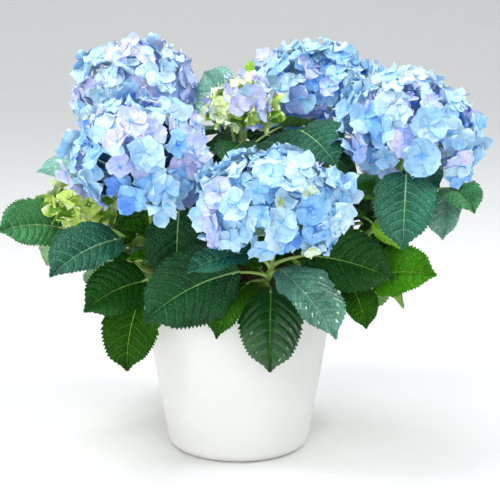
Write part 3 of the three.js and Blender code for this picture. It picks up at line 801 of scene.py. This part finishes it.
# Tones of the layers inside a head, where little light gets in. Where they are darker than the florets
# outside, as the shade tone is, they are painted shade
INNER = {
    "back_left": {"white": 3, "ice": 3, "lilac": 3},
    "front_left": {"shade": 4, "deep": 4, "periwinkle": 2},
    "front": {"shade": 2, "blue": 3, "sky": 5, "ice": 1},
    "back_right": {"deep": 3, "blue": 4, "sky": 4},
    "right": {"periwinkle": 4, "blue": 3, "lilac": 3},
    "middle": {"lime": 4, "butter": 3},
    "low_left": {"leafy": 2, "lime": 4, "butter": 2},
    "back": {"shade": 2, "deep": 4, "blue": 3},
}

# Patches of a head that have other tones: the way they face, how far they reach, their share, and their tones
PATCHES = {
    "front": [((0.45, -0.9, -0.15), 0.8, 0.5, {"cream": 4, "white": 3, "ice": 2}),
              ((-0.85, -0.5, -0.2), 0.75, 0.7, {"lilac": 4, "ice": 3, "sky": 3, "periwinkle": 2})],
    "right": [((0.9, -0.3, 0.1), 0.8, 0.4, {"cream": 2, "sky": 4, "ice": 2}),
              ((-0.3, -0.75, -0.6), 0.72, 0.7, {"lilac": 4, "periwinkle": 5, "sky": 2})],
    "front_left": [((0.75, -0.6, 0.2), 0.82, 0.5, {"lilac": 5, "pink": 3})],
    "back_left": [((0.8, -0.5, -0.2), 0.8, 0.5, {"lilac": 5, "pink": 2, "periwinkle": 3})],
    "back_right": [((-0.2, -0.95, -0.25), 0.85, 0.4, {"lilac": 3, "periwinkle": 3}),
                   ((-0.75, -0.55, -0.4), 0.8, 0.6, {"blue": 4, "periwinkle": 3, "deep": 2})],
    "middle": [((0.1, -0.7, 0.7), 0.75, 0.8, {"pink": 4, "lilac": 3})],
}

# The material slot of each kind of head
PETAL_SLOTS = {"violet": "petal_blue", "airy": "petal_blue", "pale": "petal_pale", "blue": "petal_blue",
               "lilac": "petal_lilac", "young": "petal_young", "lime": "petal_young"}


def leaf_materials():
    """Upper faces, then side veins, midribs and undersides, each in the order of the tones."""
    tones = LEAF_TONES.items()
    tops = [blade_finish(f"leaf_{name}", *tone[:5]) for name, tone in tones]
    veins = [plain_leaf_finish(f"vein_{name}", tone[5], 0.4) for name, tone in tones]
    ribs = [plain_leaf_finish(f"midrib_{name}", tone[6], 0.5) for name, tone in tones]
    unders = [plain_leaf_finish(f"underside_{name}", tone[7], 0.65) for name, tone in tones]
    return tops + veins + ribs + unders


def add_object(name, data):
    made = bpy.data.objects.new(name, data)
    bpy.context.scene.collection.objects.link(made)
    return made


def set_smooth(mesh, smooth):
    mesh.polygons.foreach_set("use_smooth", np.full(len(mesh.polygons), smooth))


def settle(piece, slot, nodes=()):
    """The piece rides on the one body, and stands for the solids that it covers."""
    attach(piece, "root")
    if nodes:
        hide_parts(*nodes)
    return piece


class Bundle:
    """Many small shapes that are gathered into one mesh."""

    def __init__(self):
        self.points = []
        self.quads = []
        self.caps = []
        self.finishes = []
        self.cap_finishes = []
        self.count = 0

    def add(self, points, quads, finishes=0, caps=()):
        self.points.append(points)
        self.quads.append(np.asarray(quads) + self.count)
        self.finishes.append(np.broadcast_to(finishes, len(quads)))
        for cap in caps:
            self.caps.append([corner + self.count for corner in cap])
            self.cap_finishes.append(int(np.max(finishes)))
        self.count += len(points)

    def add_tube(self, line, places, radii, sides, finish=0, ribs=0.0, rough=0.0):
        points, quads, caps = tube(line, places, radii, sides, ribs, rough)
        self.add(points, quads, finish, caps)

    def piece(self, name, materials, slot, nodes=()):
        faces = np.vstack(self.quads).tolist() + self.caps
        mesh = bpy.data.meshes.new(name)
        mesh.from_pydata((np.vstack(self.points) * MM).tolist(), [], faces)
        for material in materials:
            mesh.materials.append(material)
        indices = np.concatenate([*self.finishes, np.array(self.cap_finishes, int)])
        mesh.polygons.foreach_set("material_index", indices.astype(np.int32))
        set_smooth(mesh, True)
        mesh.set_sharp_from_angle(angle=radians(RIM_ANGLE))
        mesh.update()
        return settle(add_object(name, mesh), slot, nodes)


def tube(line, places, radii, sides, ribs, rough):
    """A closed tube along a bow. Ribs and rough say how deep its ridges and lumps are, by its radius."""
    centres = line.points(places)
    along = line.tangents(places)
    square = np.cross(line.bend - line.foot, line.tip - line.bend)
    if np.linalg.norm(square) < 1e-3:
        # A straight line bends in no plane, so any way across it will do
        square = np.cross(along[0], (0.3, 0.9, 0.1))
    square = unit(square)
    across = np.cross(along, square)
    angle = 2 * pi * np.arange(sides) / sides
    up = places[:, None]
    lumps = np.sin(3 * angle + 40 * up) * np.sin(90 * up - 2 * angle)
    wide = 1 + ribs * np.cos(angle * sides / 2) + rough * lumps
    ring = np.cos(angle)[None, :, None] * square + np.sin(angle)[None, :, None] * across[:, None]
    points = centres[:, None] + ring * (np.asarray(radii)[:, None] * wide)[:, :, None]
    return points.reshape(-1, 3), *tube_faces(len(places), sides)


def tube_faces(rings, sides):
    corner = np.arange(sides)
    ring = sides * np.arange(rings - 1)[:, None]
    low = ring + corner
    following = ring + (corner + 1) % sides
    quads = np.stack([low, following, following + sides, low + sides], -1).reshape(-1, 4)
    return quads, [list(corner[::-1]), list(corner + sides * (rings - 1))]


def full_width(place):
    """The finished blade is fuller than its plain solid, with a short drawn-out point."""
    drawn = np.clip((place - BLADE.drawn_from) / BLADE.drawn_over, 0, 1)
    return oval(place, BLADE) * (1 - BLADE.pinch * drawn * drawn * (3 - 2 * drawn))


def closed_sheet(rows, columns):
    """A thin sheet, closed along its rim: each point's row and column, which are below, and its faces."""
    row, column = np.meshgrid(np.arange(rows), np.arange(columns), indexing="ij")
    edge = (row == 0) | (row == rows - 1) | (column == 0) | (column == columns - 1)
    top = np.arange(row.size).reshape(row.shape)
    low = top.copy()
    low[~edge] = row.size + np.arange((~edge).sum())
    upper = np.stack([top[:-1, :-1], top[:-1, 1:], top[1:, 1:], top[1:, :-1]], -1).reshape(-1, 4)
    lower = np.stack([low[:-1, :-1], low[1:, :-1], low[1:, 1:], low[:-1, 1:]], -1).reshape(-1, 4)
    all_rows = np.concatenate([row.ravel(), row[~edge]])
    all_columns = np.concatenate([column.ravel(), column[~edge]])
    return all_rows, all_columns, np.arange(len(all_rows)) >= row.size, upper, lower


class LeafForm:
    """The faces of one blade: rows that run out along its side veins, with a strip for each vein."""

    def __init__(self, veins, panel_rows, columns):
        self.columns = np.array(columns)
        self.rows = self.row_list(veins, panel_rows)
        self.make_faces()
        self.set_points()

    @staticmethod
    def row_list(veins, panel_rows):
        """Each row's start along the midrib, which edge of a vein it is, its place in a panel, its tooth."""
        first = VEIN.first
        step = (VEIN.last - first) / (veins - 1)
        rows = [(0, 0, 0, 0)]
        for i in range(1, FOOT_ROWS):
            rows.append((first * (i / FOOT_ROWS) ** 1.3, 0, i / FOOT_ROWS, TEETH[i % 3]))
        for vein in range(veins):
            start = first + vein * step
            rows.append((start, -1, 0, 1))
            rows.append((start, 1, 0, 1))
            if vein < veins - 1:
                for i in range(1, panel_rows + 1):
                    share = i / (panel_rows + 1)
                    rows.append((start + share * step, 0, share, TEETH[(i - 1) % 3]))
        for start, share, tooth in TIP_ROWS:
            rows.append((start, 0, share, tooth))
        rows.append((1, 0, 0, 0))
        return np.array(rows, float)

    def make_faces(self):
        """The sheet's faces, and what each is: skin, side vein, midrib or underside."""
        half = len(self.columns)
        row, column, self.is_low, upper, lower = closed_sheet(len(self.rows), 2 * half + 1)
        self.row = row
        self.column = column - half
        self.quads = np.vstack([upper, lower])
        face_column = np.tile(np.arange(2 * half), len(self.rows) - 1)
        face_row = np.repeat(np.arange(len(self.rows) - 1), 2 * half)
        rib = (face_column == half - 1) | (face_column == half)
        vein = (self.rows[face_row, 1] == -1) & (face_column > 0) & (face_column < 2 * half - 1)
        kind = np.where(rib, 2, np.where(vein, 1, 0))
        self.kind = np.concatenate([kind, np.where(kind > 0, 2, 3)])

    def set_points(self):
        """Each point's row values, how many columns out it is, on which half, and its share of the width."""
        self.start, self.edge, self.share, self.tooth = self.rows[self.row].T
        self.out = np.abs(self.column)
        self.sign = np.sign(self.column)
        self.t = np.where(self.out > 0, self.columns[np.maximum(self.out - 1, 0)], 0)

    def outline(self, length):
        """Each point's place along the blade, and how far from the midrib's middle it is."""
        t = self.t
        begin = self.start + self.edge * VEIN.half * (1 - VEIN.thinning * t)
        sweep = VEIN.sweep * (1 - np.exp(-self.start / VEIN.foot)) * (1 - self.start) ** 0.8
        rim = t >= 1
        place = np.clip(begin + sweep * (0.7 * t + 0.3 * t * t) + BLADE.tooth_lean * rim * self.tooth, 0, 1)
        rib = VEIN.midrib * length * (1 - VEIN.midrib_thinning * place)
        wide = 0.5 * BLADE.width * length * full_width(place)
        teeth = BLADE.tooth * length * (self.tooth - BLADE.tooth_seat)
        wide = wide + teeth * rim * np.sin(pi * place) ** 0.3
        wide = np.maximum(wide, rib + BLADE.least)
        return place, np.where(self.out > 0, rib + (wide - rib) * t, 0)

    def relief(self, length):
        """The panels that rise between the veins, and the grooves along the veins."""
        t = self.t
        out = self.out
        dome = 4 * t * (1 - t)
        fading = np.sin(pi * self.start) ** 0.4
        rung = 1 - VEIN.rung * (out % 2) * (t < 1)
        puff = BLADE.quilt * length * np.sin(pi * self.share) ** 0.8
        quilt = puff * (0.3 + 0.7 * dome) * rung * (t > 0) * fading
        arch = BLADE.arch * length * dome * np.sin(pi * self.start)
        groove = VEIN.groove * length * (out == 1)
        groove = groove + VEIN.side_groove * length * (self.edge != 0) * (out > 1) * (1 - t)
        return quilt + arch - groove

    def ripple(self, place, length, roll):
        """Slow waves of the blade and its rim, different on each half."""
        phase = roll() * 6.28 + self.sign * 1.7
        waves = BLADE.waves + roll()
        rim = BLADE.wave * self.t ** 2 * np.sin(2 * pi * waves * place + phase)
        twist = BLADE.twist * (roll() - 0.5) * self.sign * self.t * place
        return length * (rim + twist) * np.sin(pi * place) ** 0.7

    def points(self, leaf, roll):
        """Every point of the blade at its place on the plant."""
        length = leaf.blade[2]
        place, across = self.outline(length)
        above = self.relief(length) + self.ripple(place, length, roll)
        side_vein = VEIN.thick * (self.edge != 0)
        thick = BLADE.thick + VEIN.midrib_thick * (self.out <= 1) * (1 - place) + side_vein
        return blade_points(leaf, place, self.sign * across, above - thick * self.is_low)


def leaf_pieces(grown, young):
    """The blades, joined by storey so that each piece stays small."""
    full = LeafForm(VEIN.pairs, 5, (0, 0.14, 0.28, 0.42, 0.57, 0.72, 0.87, 1))
    small = LeafForm(VEIN.pairs - 2, 3, (0, 0.45, 0.8, 1))
    roll = Dice(LEAF_SEED)
    storeys = {"lower_leaves": Bundle(), "upper_leaves": Bundle(), "young_leaves": Bundle()}
    for leaf in grown:
        storey = "lower_leaves" if leaf.base[2] < STOREY else "upper_leaves"
        add_leaf(storeys[storey], full, leaf, roll)
    for leaf in young:
        add_leaf(storeys["young_leaves"], small, leaf, roll)
    nodes = {
        "lower_leaves": [f"leaves_{name}" for name in SHOOTS if SHOOTS[name][0] == LOW_FORK],
        "upper_leaves": [f"leaves_{name}" for name in SHOOTS if SHOOTS[name][0] != LOW_FORK],
    }
    materials = leaf_materials()
    for name, bundle in storeys.items():
        bundle.piece(name, materials, "leaf", nodes.get(name, ()))


def add_leaf(bundle, form, leaf, roll):
    tone = TONE_NAMES.index(leaf.tone)
    bundle.add(form.points(leaf, roll), form.quads, form.kind * len(TONE_NAMES) + tone)


def stem_piece(bundle, name, nodes=()):
    bundle.piece(name, [stem_finish(f"{name}_skin", *STEM_SKINS[name])], "green_stem", nodes)


def thinning(stem, places, power=1):
    """Radii of a stem from its foot to its tip."""
    return stem.foot + (stem.tip - stem.foot) * places ** power


def stem_pieces(lines, grown, young):
    """Woody boughs, green shoots and leaf stalks."""
    boughs = Bundle()
    shoots = Bundle()
    stalks = Bundle()
    for line in lines.values():
        places = np.linspace(0, BOUGH.end, BOUGH.rings)
        radii = np.linspace(BOUGH.foot + BOUGH.skin, BOUGH.tip, BOUGH.rings)
        radii = radii * (1 + BOUGH.swell * np.cos(places * BOUGH.swells))
        boughs.add_tube(line, places, radii, BOUGH.sides, ribs=BOUGH.ribs, rough=BOUGH.rough)
        places = np.linspace(BOUGH.end - SHOOT.overlap, 1, SHOOT.rings)
        radii = SHOOT.skin + thinning(SHOOT, (places - BOUGH.end) / (1 - BOUGH.end))
        for knot in [leaf.at for leaf in grown if leaf.line is line]:
            radii = radii + SHOOT.knot * np.exp(-((places - knot) / SHOOT.knot_reach) ** 2)
        shoots.add_tube(line, places, radii, SHOOT.sides, ribs=SHOOT.ribs)
    places = np.linspace(0, 1, STALK.rings)
    for leaves, scale in ((grown, 1), (young, STALK.young)):
        for leaf in leaves:
            radii = scale * thinning(STALK, places, 0.6)
            radii[:2] *= STALK.flare
            stalks.add_tube(stalk_line(leaf), places, radii, STALK.sides)
    stem_piece(boughs, "boughs", [f"bough_{name}" for name in SHOOTS])
    stem_piece(shoots, "shoots")
    stem_piece(stalks, "leaf_stalks")


class PetalForm:
    """One petal: a thin closed blade with a broad ruffled end, as shares of its length."""

    def __init__(self):
        row, column, self.is_low, upper, lower = closed_sheet(len(PETAL_ROWS), len(PETAL_COLUMNS))
        self.quads = np.vstack([upper, lower])
        face_row = np.arange(len(self.quads)) % len(upper) // (len(PETAL_COLUMNS) - 1)
        self.zone = 1 - (face_row == 0) + (face_row == len(PETAL_ROWS) - 2)
        self.along = np.array(PETAL_ROWS)[row]
        self.side = np.array(PETAL_COLUMNS)[column]
        self.round = np.array(ROUND_PETAL)[row]
        self.pointed = np.array(POINTED_PETAL)[row]

    def points(self, length, cup, pointed, roll):
        """Along, across and above the floret's middle, in millimetres."""
        curl = roll.between(*PETAL.curl)
        tilt = roll.between(*PETAL.tilt)
        edge = roll.between(*PETAL.edge)
        phase = 6.28 * roll()
        beat = roll.between(*PETAL.beat)
        rim = np.abs(self.side) ** 1.5 + self.along ** 4
        ruffle = np.sin(beat * self.along + 2.4 * self.side + phase) * self.along
        wide = self.round + pointed * (self.pointed - self.round)
        wide = wide * roll.between(*PETAL.width) * (1 + PETAL.ruffle * ruffle)
        notch = PETAL.notch + PETAL.point * pointed
        reach = self.along * (1 - notch * self.side ** 2 * self.along)
        reach = reach * (1 + PETAL.ruffle * np.sin(6 * self.side + 2 * phase) * self.along ** 2)
        rise = cup * self.along + curl * self.along ** 2.3 + tilt * self.side * self.along
        rise = rise + edge * self.side ** 2 * self.along + PETAL.wave * rim * ruffle
        rise = rise - PETAL.hollow * (1 - np.abs(self.side)) * np.sin(pi * self.along)
        return length * reach, length * wide * self.side, length * rise - PETAL.thick * self.is_low


def pick(mix, roll):
    """One tone, as often as its share says."""
    left = roll() * sum(mix.values())
    for name, share in mix.items():
        left -= share
        if left <= 0:
            break
    return name


def floret(bundle, form, place, outward, spin, radius, cup, roll, tone):
    """Four overlapping petals round a centre. Cup is how far they rise, as a share of their length."""
    aside = np.array([1.0, 0, 0]) if abs(outward[2]) > 0.9 else np.array([0, 0, 1.0])
    right = unit(np.cross(aside, outward))
    ahead = np.cross(outward, right)
    pointed = FLORET.pointed * roll()
    heart = PETALS[tone][2]
    for petal in range(4):
        turn = spin + petal * pi / 2 + FLORET.turn * (roll() - 0.5)
        along = cos(turn) * right + sin(turn) * ahead
        across = cos(turn) * ahead - sin(turn) * right
        length = radius * roll.between(*FLORET.length)
        out, side, above = form.points(length, cup + FLORET.cup * (roll() - 0.5), pointed, roll)
        points = place + out[:, None] * along - side[:, None] * across + above[:, None] * outward
        main = pick(PETALS[tone][4], roll) if roll() < FLORET.changed else tone
        finishes = [PETAL_NAMES.index(name) for name in (heart, main, PETALS[main][3])]
        bundle.add(points, form.quads, np.array(finishes)[form.zone])


def bead(bundle, place, outward, radius, finish):
    """The small round centre of a floret."""
    foot = place - outward * BEAD.sunk * radius
    line = Bow(foot, place + outward * BEAD.bend * radius, place + outward * radius)
    bundle.add_tube(line, np.array(BEAD.rings), radius * np.array(BEAD.radii), BEAD.sides, finish)


def lobe(name, spot):
    """How far the head's form reaches towards a spot, as a share of its round form."""
    reach = 1.0
    for towards, share in LOBES.get(name, ()):
        near = max(spot @ unit(towards) - HEAD.lobe_from, 0) / (1 - HEAD.lobe_from)
        reach += share * near * near
    return reach


def head_spots(head, name, count, seat, roll):
    """Golden-angle spiral over a head: each spot's place, the way it faces, and its way from the middle."""
    size = np.array([head.across, head.across, head.up], float)
    least = cos(radians(HEAD.lowest))
    golden = pi * (3 - sqrt(5))
    for i in range(count):
        up = 1 - ((i + 0.3 + 0.4 * roll()) / count) * (1 - least)
        wide = sqrt(max(1 - up * up, 0))
        turn = i * golden + 0.3 * (roll() - 0.5)
        spot = np.array([wide * cos(turn), wide * sin(turn), up])
        outward = unit(spot / size)
        lean = np.array([roll() - 0.5, roll() - 0.5, roll() - 0.5])
        lump = lobe(name, spot) + HEAD.lump * noise.noise(Vector(spot * HEAD.lump_size + head.centre))
        place = spot * size * seat * lump * roll.between(*HEAD.seat_varies) + head.centre
        yield place, unit(outward + lean), spot


def floret_tone(name, head, spot, roll):
    """The tone of an open floret, by where it is on its head."""
    for towards, reach, share, tones in PATCHES.get(name, ()):
        if spot @ unit(towards) > reach and roll() < share:
            return pick(tones, roll)
    level = spot[2] + HEAD.blur * (roll() - 0.5)
    top, sides, underside = MIXES[head.mix]
    return pick(top if level > HEAD.top_from else sides if level > HEAD.sides_from else underside, roll)


def bloom_pieces(lines):
    """Flower heads: florets outside, inner layers, and the stalks that carry them."""
    petals = [petal_finish(f"petal_{name}", *PETALS[name][:2]) for name in PETAL_NAMES]
    form = PetalForm()
    beads = Bundle()
    floret_stalks = Bundle()
    head_stalks = Bundle()
    for number, (name, head) in enumerate(HEADS.items()):
        roll = Dice(HEAD_SEED + number)
        bundle = Bundle()
        tip = lines[name].tip
        crown = np.array(head.centre) * HEAD.crown[0] + tip * HEAD.crown[1]
        young = head.mix in ("young", "lime")
        for place, outward, spot in head_spots(head, name, head.florets, HEAD.seat, roll):
            tone = floret_tone(name, head, spot, roll)
            small = tone in ("cream", "butter") and not young
            radius = head.radius * roll.between(*HEAD.open) * (HEAD.small if small else 1)
            cup = HEAD.young_cup if young or small else roll.between(*HEAD.open_cup)
            floret(bundle, form, place, outward, roll() * pi, radius, cup, roll, tone)
            size = BEAD.share * head.radius + BEAD.least
            bead(beads, place + outward * BEAD.lift, outward, size, int(small or young))
            add_floret_stalk(floret_stalks, crown, place, outward)
        for share, seat in HEAD.layers:
            for place, outward, spot in head_spots(head, name, int(head.florets * share), seat, roll):
                tone = pick(INNER[name], roll)
                radius = head.radius * roll.between(*HEAD.inner)
                floret(bundle, form, place, outward, roll() * pi, radius, HEAD.inner_cup, roll, tone)
                add_floret_stalk(floret_stalks, crown, place, outward)
        bundle.piece(f"florets_{name}", petals, PETAL_SLOTS[head.mix], [f"bloom_{name}"])
        add_head_stalk(head_stalks, tip, lines[name].tangents(1.0), crown)
    bead_skins = [bead_finish("bead_blue", "#55bfe6"), bead_finish("bead_cream", "#dfe38a")]
    beads.piece("floret_centres", bead_skins, "petal_blue")
    stem_piece(floret_stalks, "floret_stalks")
    stem_piece(head_stalks, "head_stalks")


def add_stalk(bundle, line, stalk, ribs=0.0):
    places = np.linspace(0, 1, stalk.rings)
    radii = np.linspace(stalk.foot, stalk.tip, stalk.rings)
    bundle.add_tube(line, places, radii, stalk.sides, ribs=ribs)


def add_floret_stalk(bundle, crown, place, outward):
    """A thin stalk from the head's crown to the back of a floret."""
    foot = crown + FLORET_STALK.start * (place - crown)
    bend = (foot + place) / 2 - outward * FLORET_STALK.sag
    add_stalk(bundle, Bow(foot, bend, place - outward * FLORET_STALK.sunk), FLORET_STALK)


def add_head_stalk(bundle, tip, rise, crown):
    """The stout stalk that carries a head on from the tip of its shoot."""
    line = Bow(tip - rise * HEAD_STALK.sunk, tip + rise * HEAD_STALK.rise, crown)
    add_stalk(bundle, line, HEAD_STALK, HEAD_STALK.ribs)


def shares(count):
    return [i / count for i in range(1, count + 1)]


def pot_profile():
    """The pot's section, from the edge of its flat underside up, over the rim and down inside."""
    side = pot_radius(POT.foot_round) - POT.foot_flat
    half = POT.wall / 2
    shoulder = POT.height - half
    section = []
    for share in shares(POT.foot_steps):
        angle = share * pi / 2
        section.append((POT.foot_flat + side * sin(angle), POT.foot_round * (1 - cos(angle))))
    for share in shares(POT.side_steps):
        height = POT.foot_round + (shoulder - POT.foot_round) * share
        section.append((pot_radius(height), height))
    for share in shares(POT.rim_steps):
        section.append((POT.rim_radius - half + half * cos(share * pi), shoulder + half * sin(share * pi)))
    for share in shares(POT.inner_steps):
        height = shoulder - (shoulder - POT.floor) * share
        section.append((pot_radius(height) - POT.wall, height))
    return section


def climb(section, radius, height):
    """Carries the selected ring of edges along a section, one extrusion for each of its points."""
    for across, up in section:
        bpy.ops.mesh.extrude_region_move(TRANSFORM_OT_translate={"value": (0, 0, (up - height) * MM)})
        share = across / radius
        bpy.ops.transform.resize(value=(share, share, 1), center_override=(0, 0, up * MM))
        radius = across
        height = up


def round_piece(name, sides, radius, foot, section):
    """A closed round piece: a flat underside, carried up along a section to a flat top or hollow."""
    bpy.ops.object.select_all(action="DESELECT")
    bpy.ops.mesh.primitive_circle_add(vertices=sides, radius=radius * MM, fill_type="NGON",
                                      location=(0, 0, foot * MM))
    piece = bpy.context.object
    piece.name = name
    piece.data.name = name
    bpy.ops.object.mode_set(mode="EDIT")
    bpy.ops.mesh.select_mode(type="EDGE")
    bpy.ops.mesh.select_all(action="SELECT")
    bpy.ops.mesh.region_to_loop()
    climb(section, radius, foot)
    bpy.ops.mesh.edge_face_add()
    bpy.ops.mesh.select_all(action="SELECT")
    bpy.ops.mesh.normals_make_consistent(inside=False)
    bpy.ops.object.mode_set(mode="OBJECT")
    bpy.ops.object.transform_apply(location=True, rotation=True, scale=True)
    return piece


def pot_piece():
    piece = round_piece("white_pot", POT.sides, POT.foot_flat, 0, pot_profile())
    bpy.ops.object.shade_smooth_by_angle(angle=radians(POT.crisp_angle))
    piece.data.materials.append(glaze_finish())
    settle(piece, "pot", ["pot"])


def compost_height(share):
    """Height of the compost's top, at a share of its radius from the middle."""
    return COMPOST.top - COMPOST.edge_drop * share ** 3


def compost_piece():
    """The compost: a plug that fills the pot, with a top that drops at its edge."""
    foot = POT.floor + GAP
    low, rim = [pot_radius(height) - POT.wall - 2 * GAP for height in (foot, compost_height(1))]
    section = [(rim * share, compost_height(share)) for share in shares(COMPOST.rings)[::-1]]
    piece = round_piece("compost_fill", COMPOST.sides, low, foot, section)
    set_smooth(piece.data, True)
    piece.data.materials.append(compost_finish("compost_dark", "#1d130d", "#4a3423"))
    settle(piece, "compost", ["compost"])


def crumb_piece():
    """Bark crumbs and lumps that lie on the compost."""
    roll = Dice(CRUMB.seed)
    bundle = Bundle()
    corners = np.array([(x, y, z) for x in (-1, 1) for y in (-1, 1) for z in (-1, 1)], float)
    quads = [(0, 1, 3, 2), (4, 6, 7, 5), (0, 4, 5, 1), (2, 3, 7, 6), (0, 2, 6, 4), (1, 5, 7, 3)]
    reach = pot_radius(COMPOST.top) - POT.wall - CRUMB.from_wall
    for _ in range(CRUMB.count):
        across = reach * sqrt(roll())
        turn = roll() * 2 * pi
        size = np.array([roll.between(*span) for span in (CRUMB.length, CRUMB.width, CRUMB.height)])
        jitter = np.array([[roll() - 0.5 for _ in range(3)] for _ in range(8)]) * CRUMB.jitter
        ahead = direction(360 * roll(), CRUMB.tilt * (roll() - 0.5))
        side = unit(np.cross((0, 0, 1), ahead))
        up = np.cross(ahead, side)
        height = compost_height(across / reach) + CRUMB.lift
        centre = np.array([across * cos(turn), across * sin(turn), height])
        points = centre + ((corners + jitter) * size) @ np.array([ahead, side, up])
        bundle.add(points, quads, int(roll() * 3))
    finishes = [compost_finish(name, *tones) for name, tones in CRUMB_TONES.items()]
    piece = bundle.piece("compost_crumbs", finishes, "compost")
    set_smooth(piece.data, False)


def woody_stem_piece():
    """The short trunk: flared foot, ridged bark and a rounded knuckle."""
    foot = STUMP.foot
    height = STUMP.height
    section = [(stump_radius(share), foot + height * share) for share in shares(STUMP.rings)]
    piece = round_piece("woody_stem", STUMP.sides, stump_radius(0), foot, section)
    for vertex in piece.data.vertices:
        around = atan2(vertex.co.y, vertex.co.x)
        up = (vertex.co.z / MM - foot) / height
        if 0.01 < up < 0.99:
            spot = Vector((cos(around) * 4, sin(around) * 4, up * 2))
            ridge = 1 + STUMP.ridge * sin(around * STUMP.ridges + 5 * up)
            ridge += STUMP.fissure * noise.fractal(spot, 1.0, 2.0, 5)
            vertex.co.x *= ridge
            vertex.co.y *= ridge
    set_smooth(piece.data, True)
    piece.data.materials.append(bark_finish())
    settle(piece, "bark", ["main_stem"])


def floor_piece():
    """A pale floor that turns up behind the plant."""
    bend = FLOOR.bend
    section = [(FLOOR.front, 0), (bend, 0)]
    for share in shares(FLOOR.steps):
        section.append((bend + bend * sin(share * pi / 2), bend - bend * cos(share * pi / 2)))
    section.append((2 * bend, FLOOR.top))
    points = [(x, y, z) for y, z in section for x in (-FLOOR.half_width, FLOOR.half_width)]
    faces = [(2 * i, 2 * i + 1, 2 * i + 3, 2 * i + 2) for i in range(len(section) - 1)]
    mesh = bpy.data.meshes.new("floor")
    mesh.from_pydata(points, [], faces)
    set_smooth(mesh, True)
    mesh.materials.append(floor_finish())
    floor = add_object("floor", mesh)


def aim(lamp, way):
    lamp.rotation_euler = Vector(way).to_track_quat("-Z", "Y").to_euler()


def sky():
    """Even light from all round, and a weak broad sun."""
    world = bpy.data.worlds.new("studio")
    world.use_nodes = True
    inputs = world.node_tree.nodes["Background"].inputs
    inputs["Color"].default_value = SKY.colour
    inputs["Strength"].default_value = SKY.strength
    bpy.context.scene.world = world
    sun = bpy.data.lights.new("sky", "SUN")
    sun.energy = SKY.sun
    sun.angle = radians(SKY.sun_angle)
    aim(add_object("sky", sun), SKY.sun_way)


def soft_light(name, place, target, size, power, tint, mirrored):
    data = bpy.data.lights.new(name, "AREA")
    data.shape = "SQUARE"
    data.size = size
    data.energy = power
    data.color = tint
    lamp = add_object(name, data)
    lamp.visible_glossy = mirrored
    lamp.location = place
    aim(lamp, Vector(target) - Vector(place))


def camera():
    """The photograph's view: a long lens, looking a little down."""
    pitch = radians(CAMERA.pitch)
    data = bpy.data.cameras.new("camera")
    data.lens = CAMERA.lens
    data.sensor_width = CAMERA.sensor
    eye = add_object("camera", data)
    eye.location = Vector(CAMERA.target) + Vector((0, -cos(pitch), sin(pitch))) * CAMERA.distance
    eye.rotation_euler = (pi / 2 - pitch, 0, 0)
    bpy.context.scene.camera = eye


camera()
shoot_lines = {name: shoot_line(*shoot) for name, shoot in SHOOTS.items()}
grown_leaves, small_leaves = grow_leaves(shoot_lines)
leaf_pieces(grown_leaves, small_leaves)
stem_pieces(shoot_lines, grown_leaves, small_leaves)
bloom_pieces(shoot_lines)
pot_piece()
compost_piece()
crumb_piece()
woody_stem_piece()
floor_piece()
sky()
for lamp_name, lamp_row in LAMPS.items():
    soft_light(lamp_name, *lamp_row)
bpy.context.scene.view_settings.view_transform = "Standard"
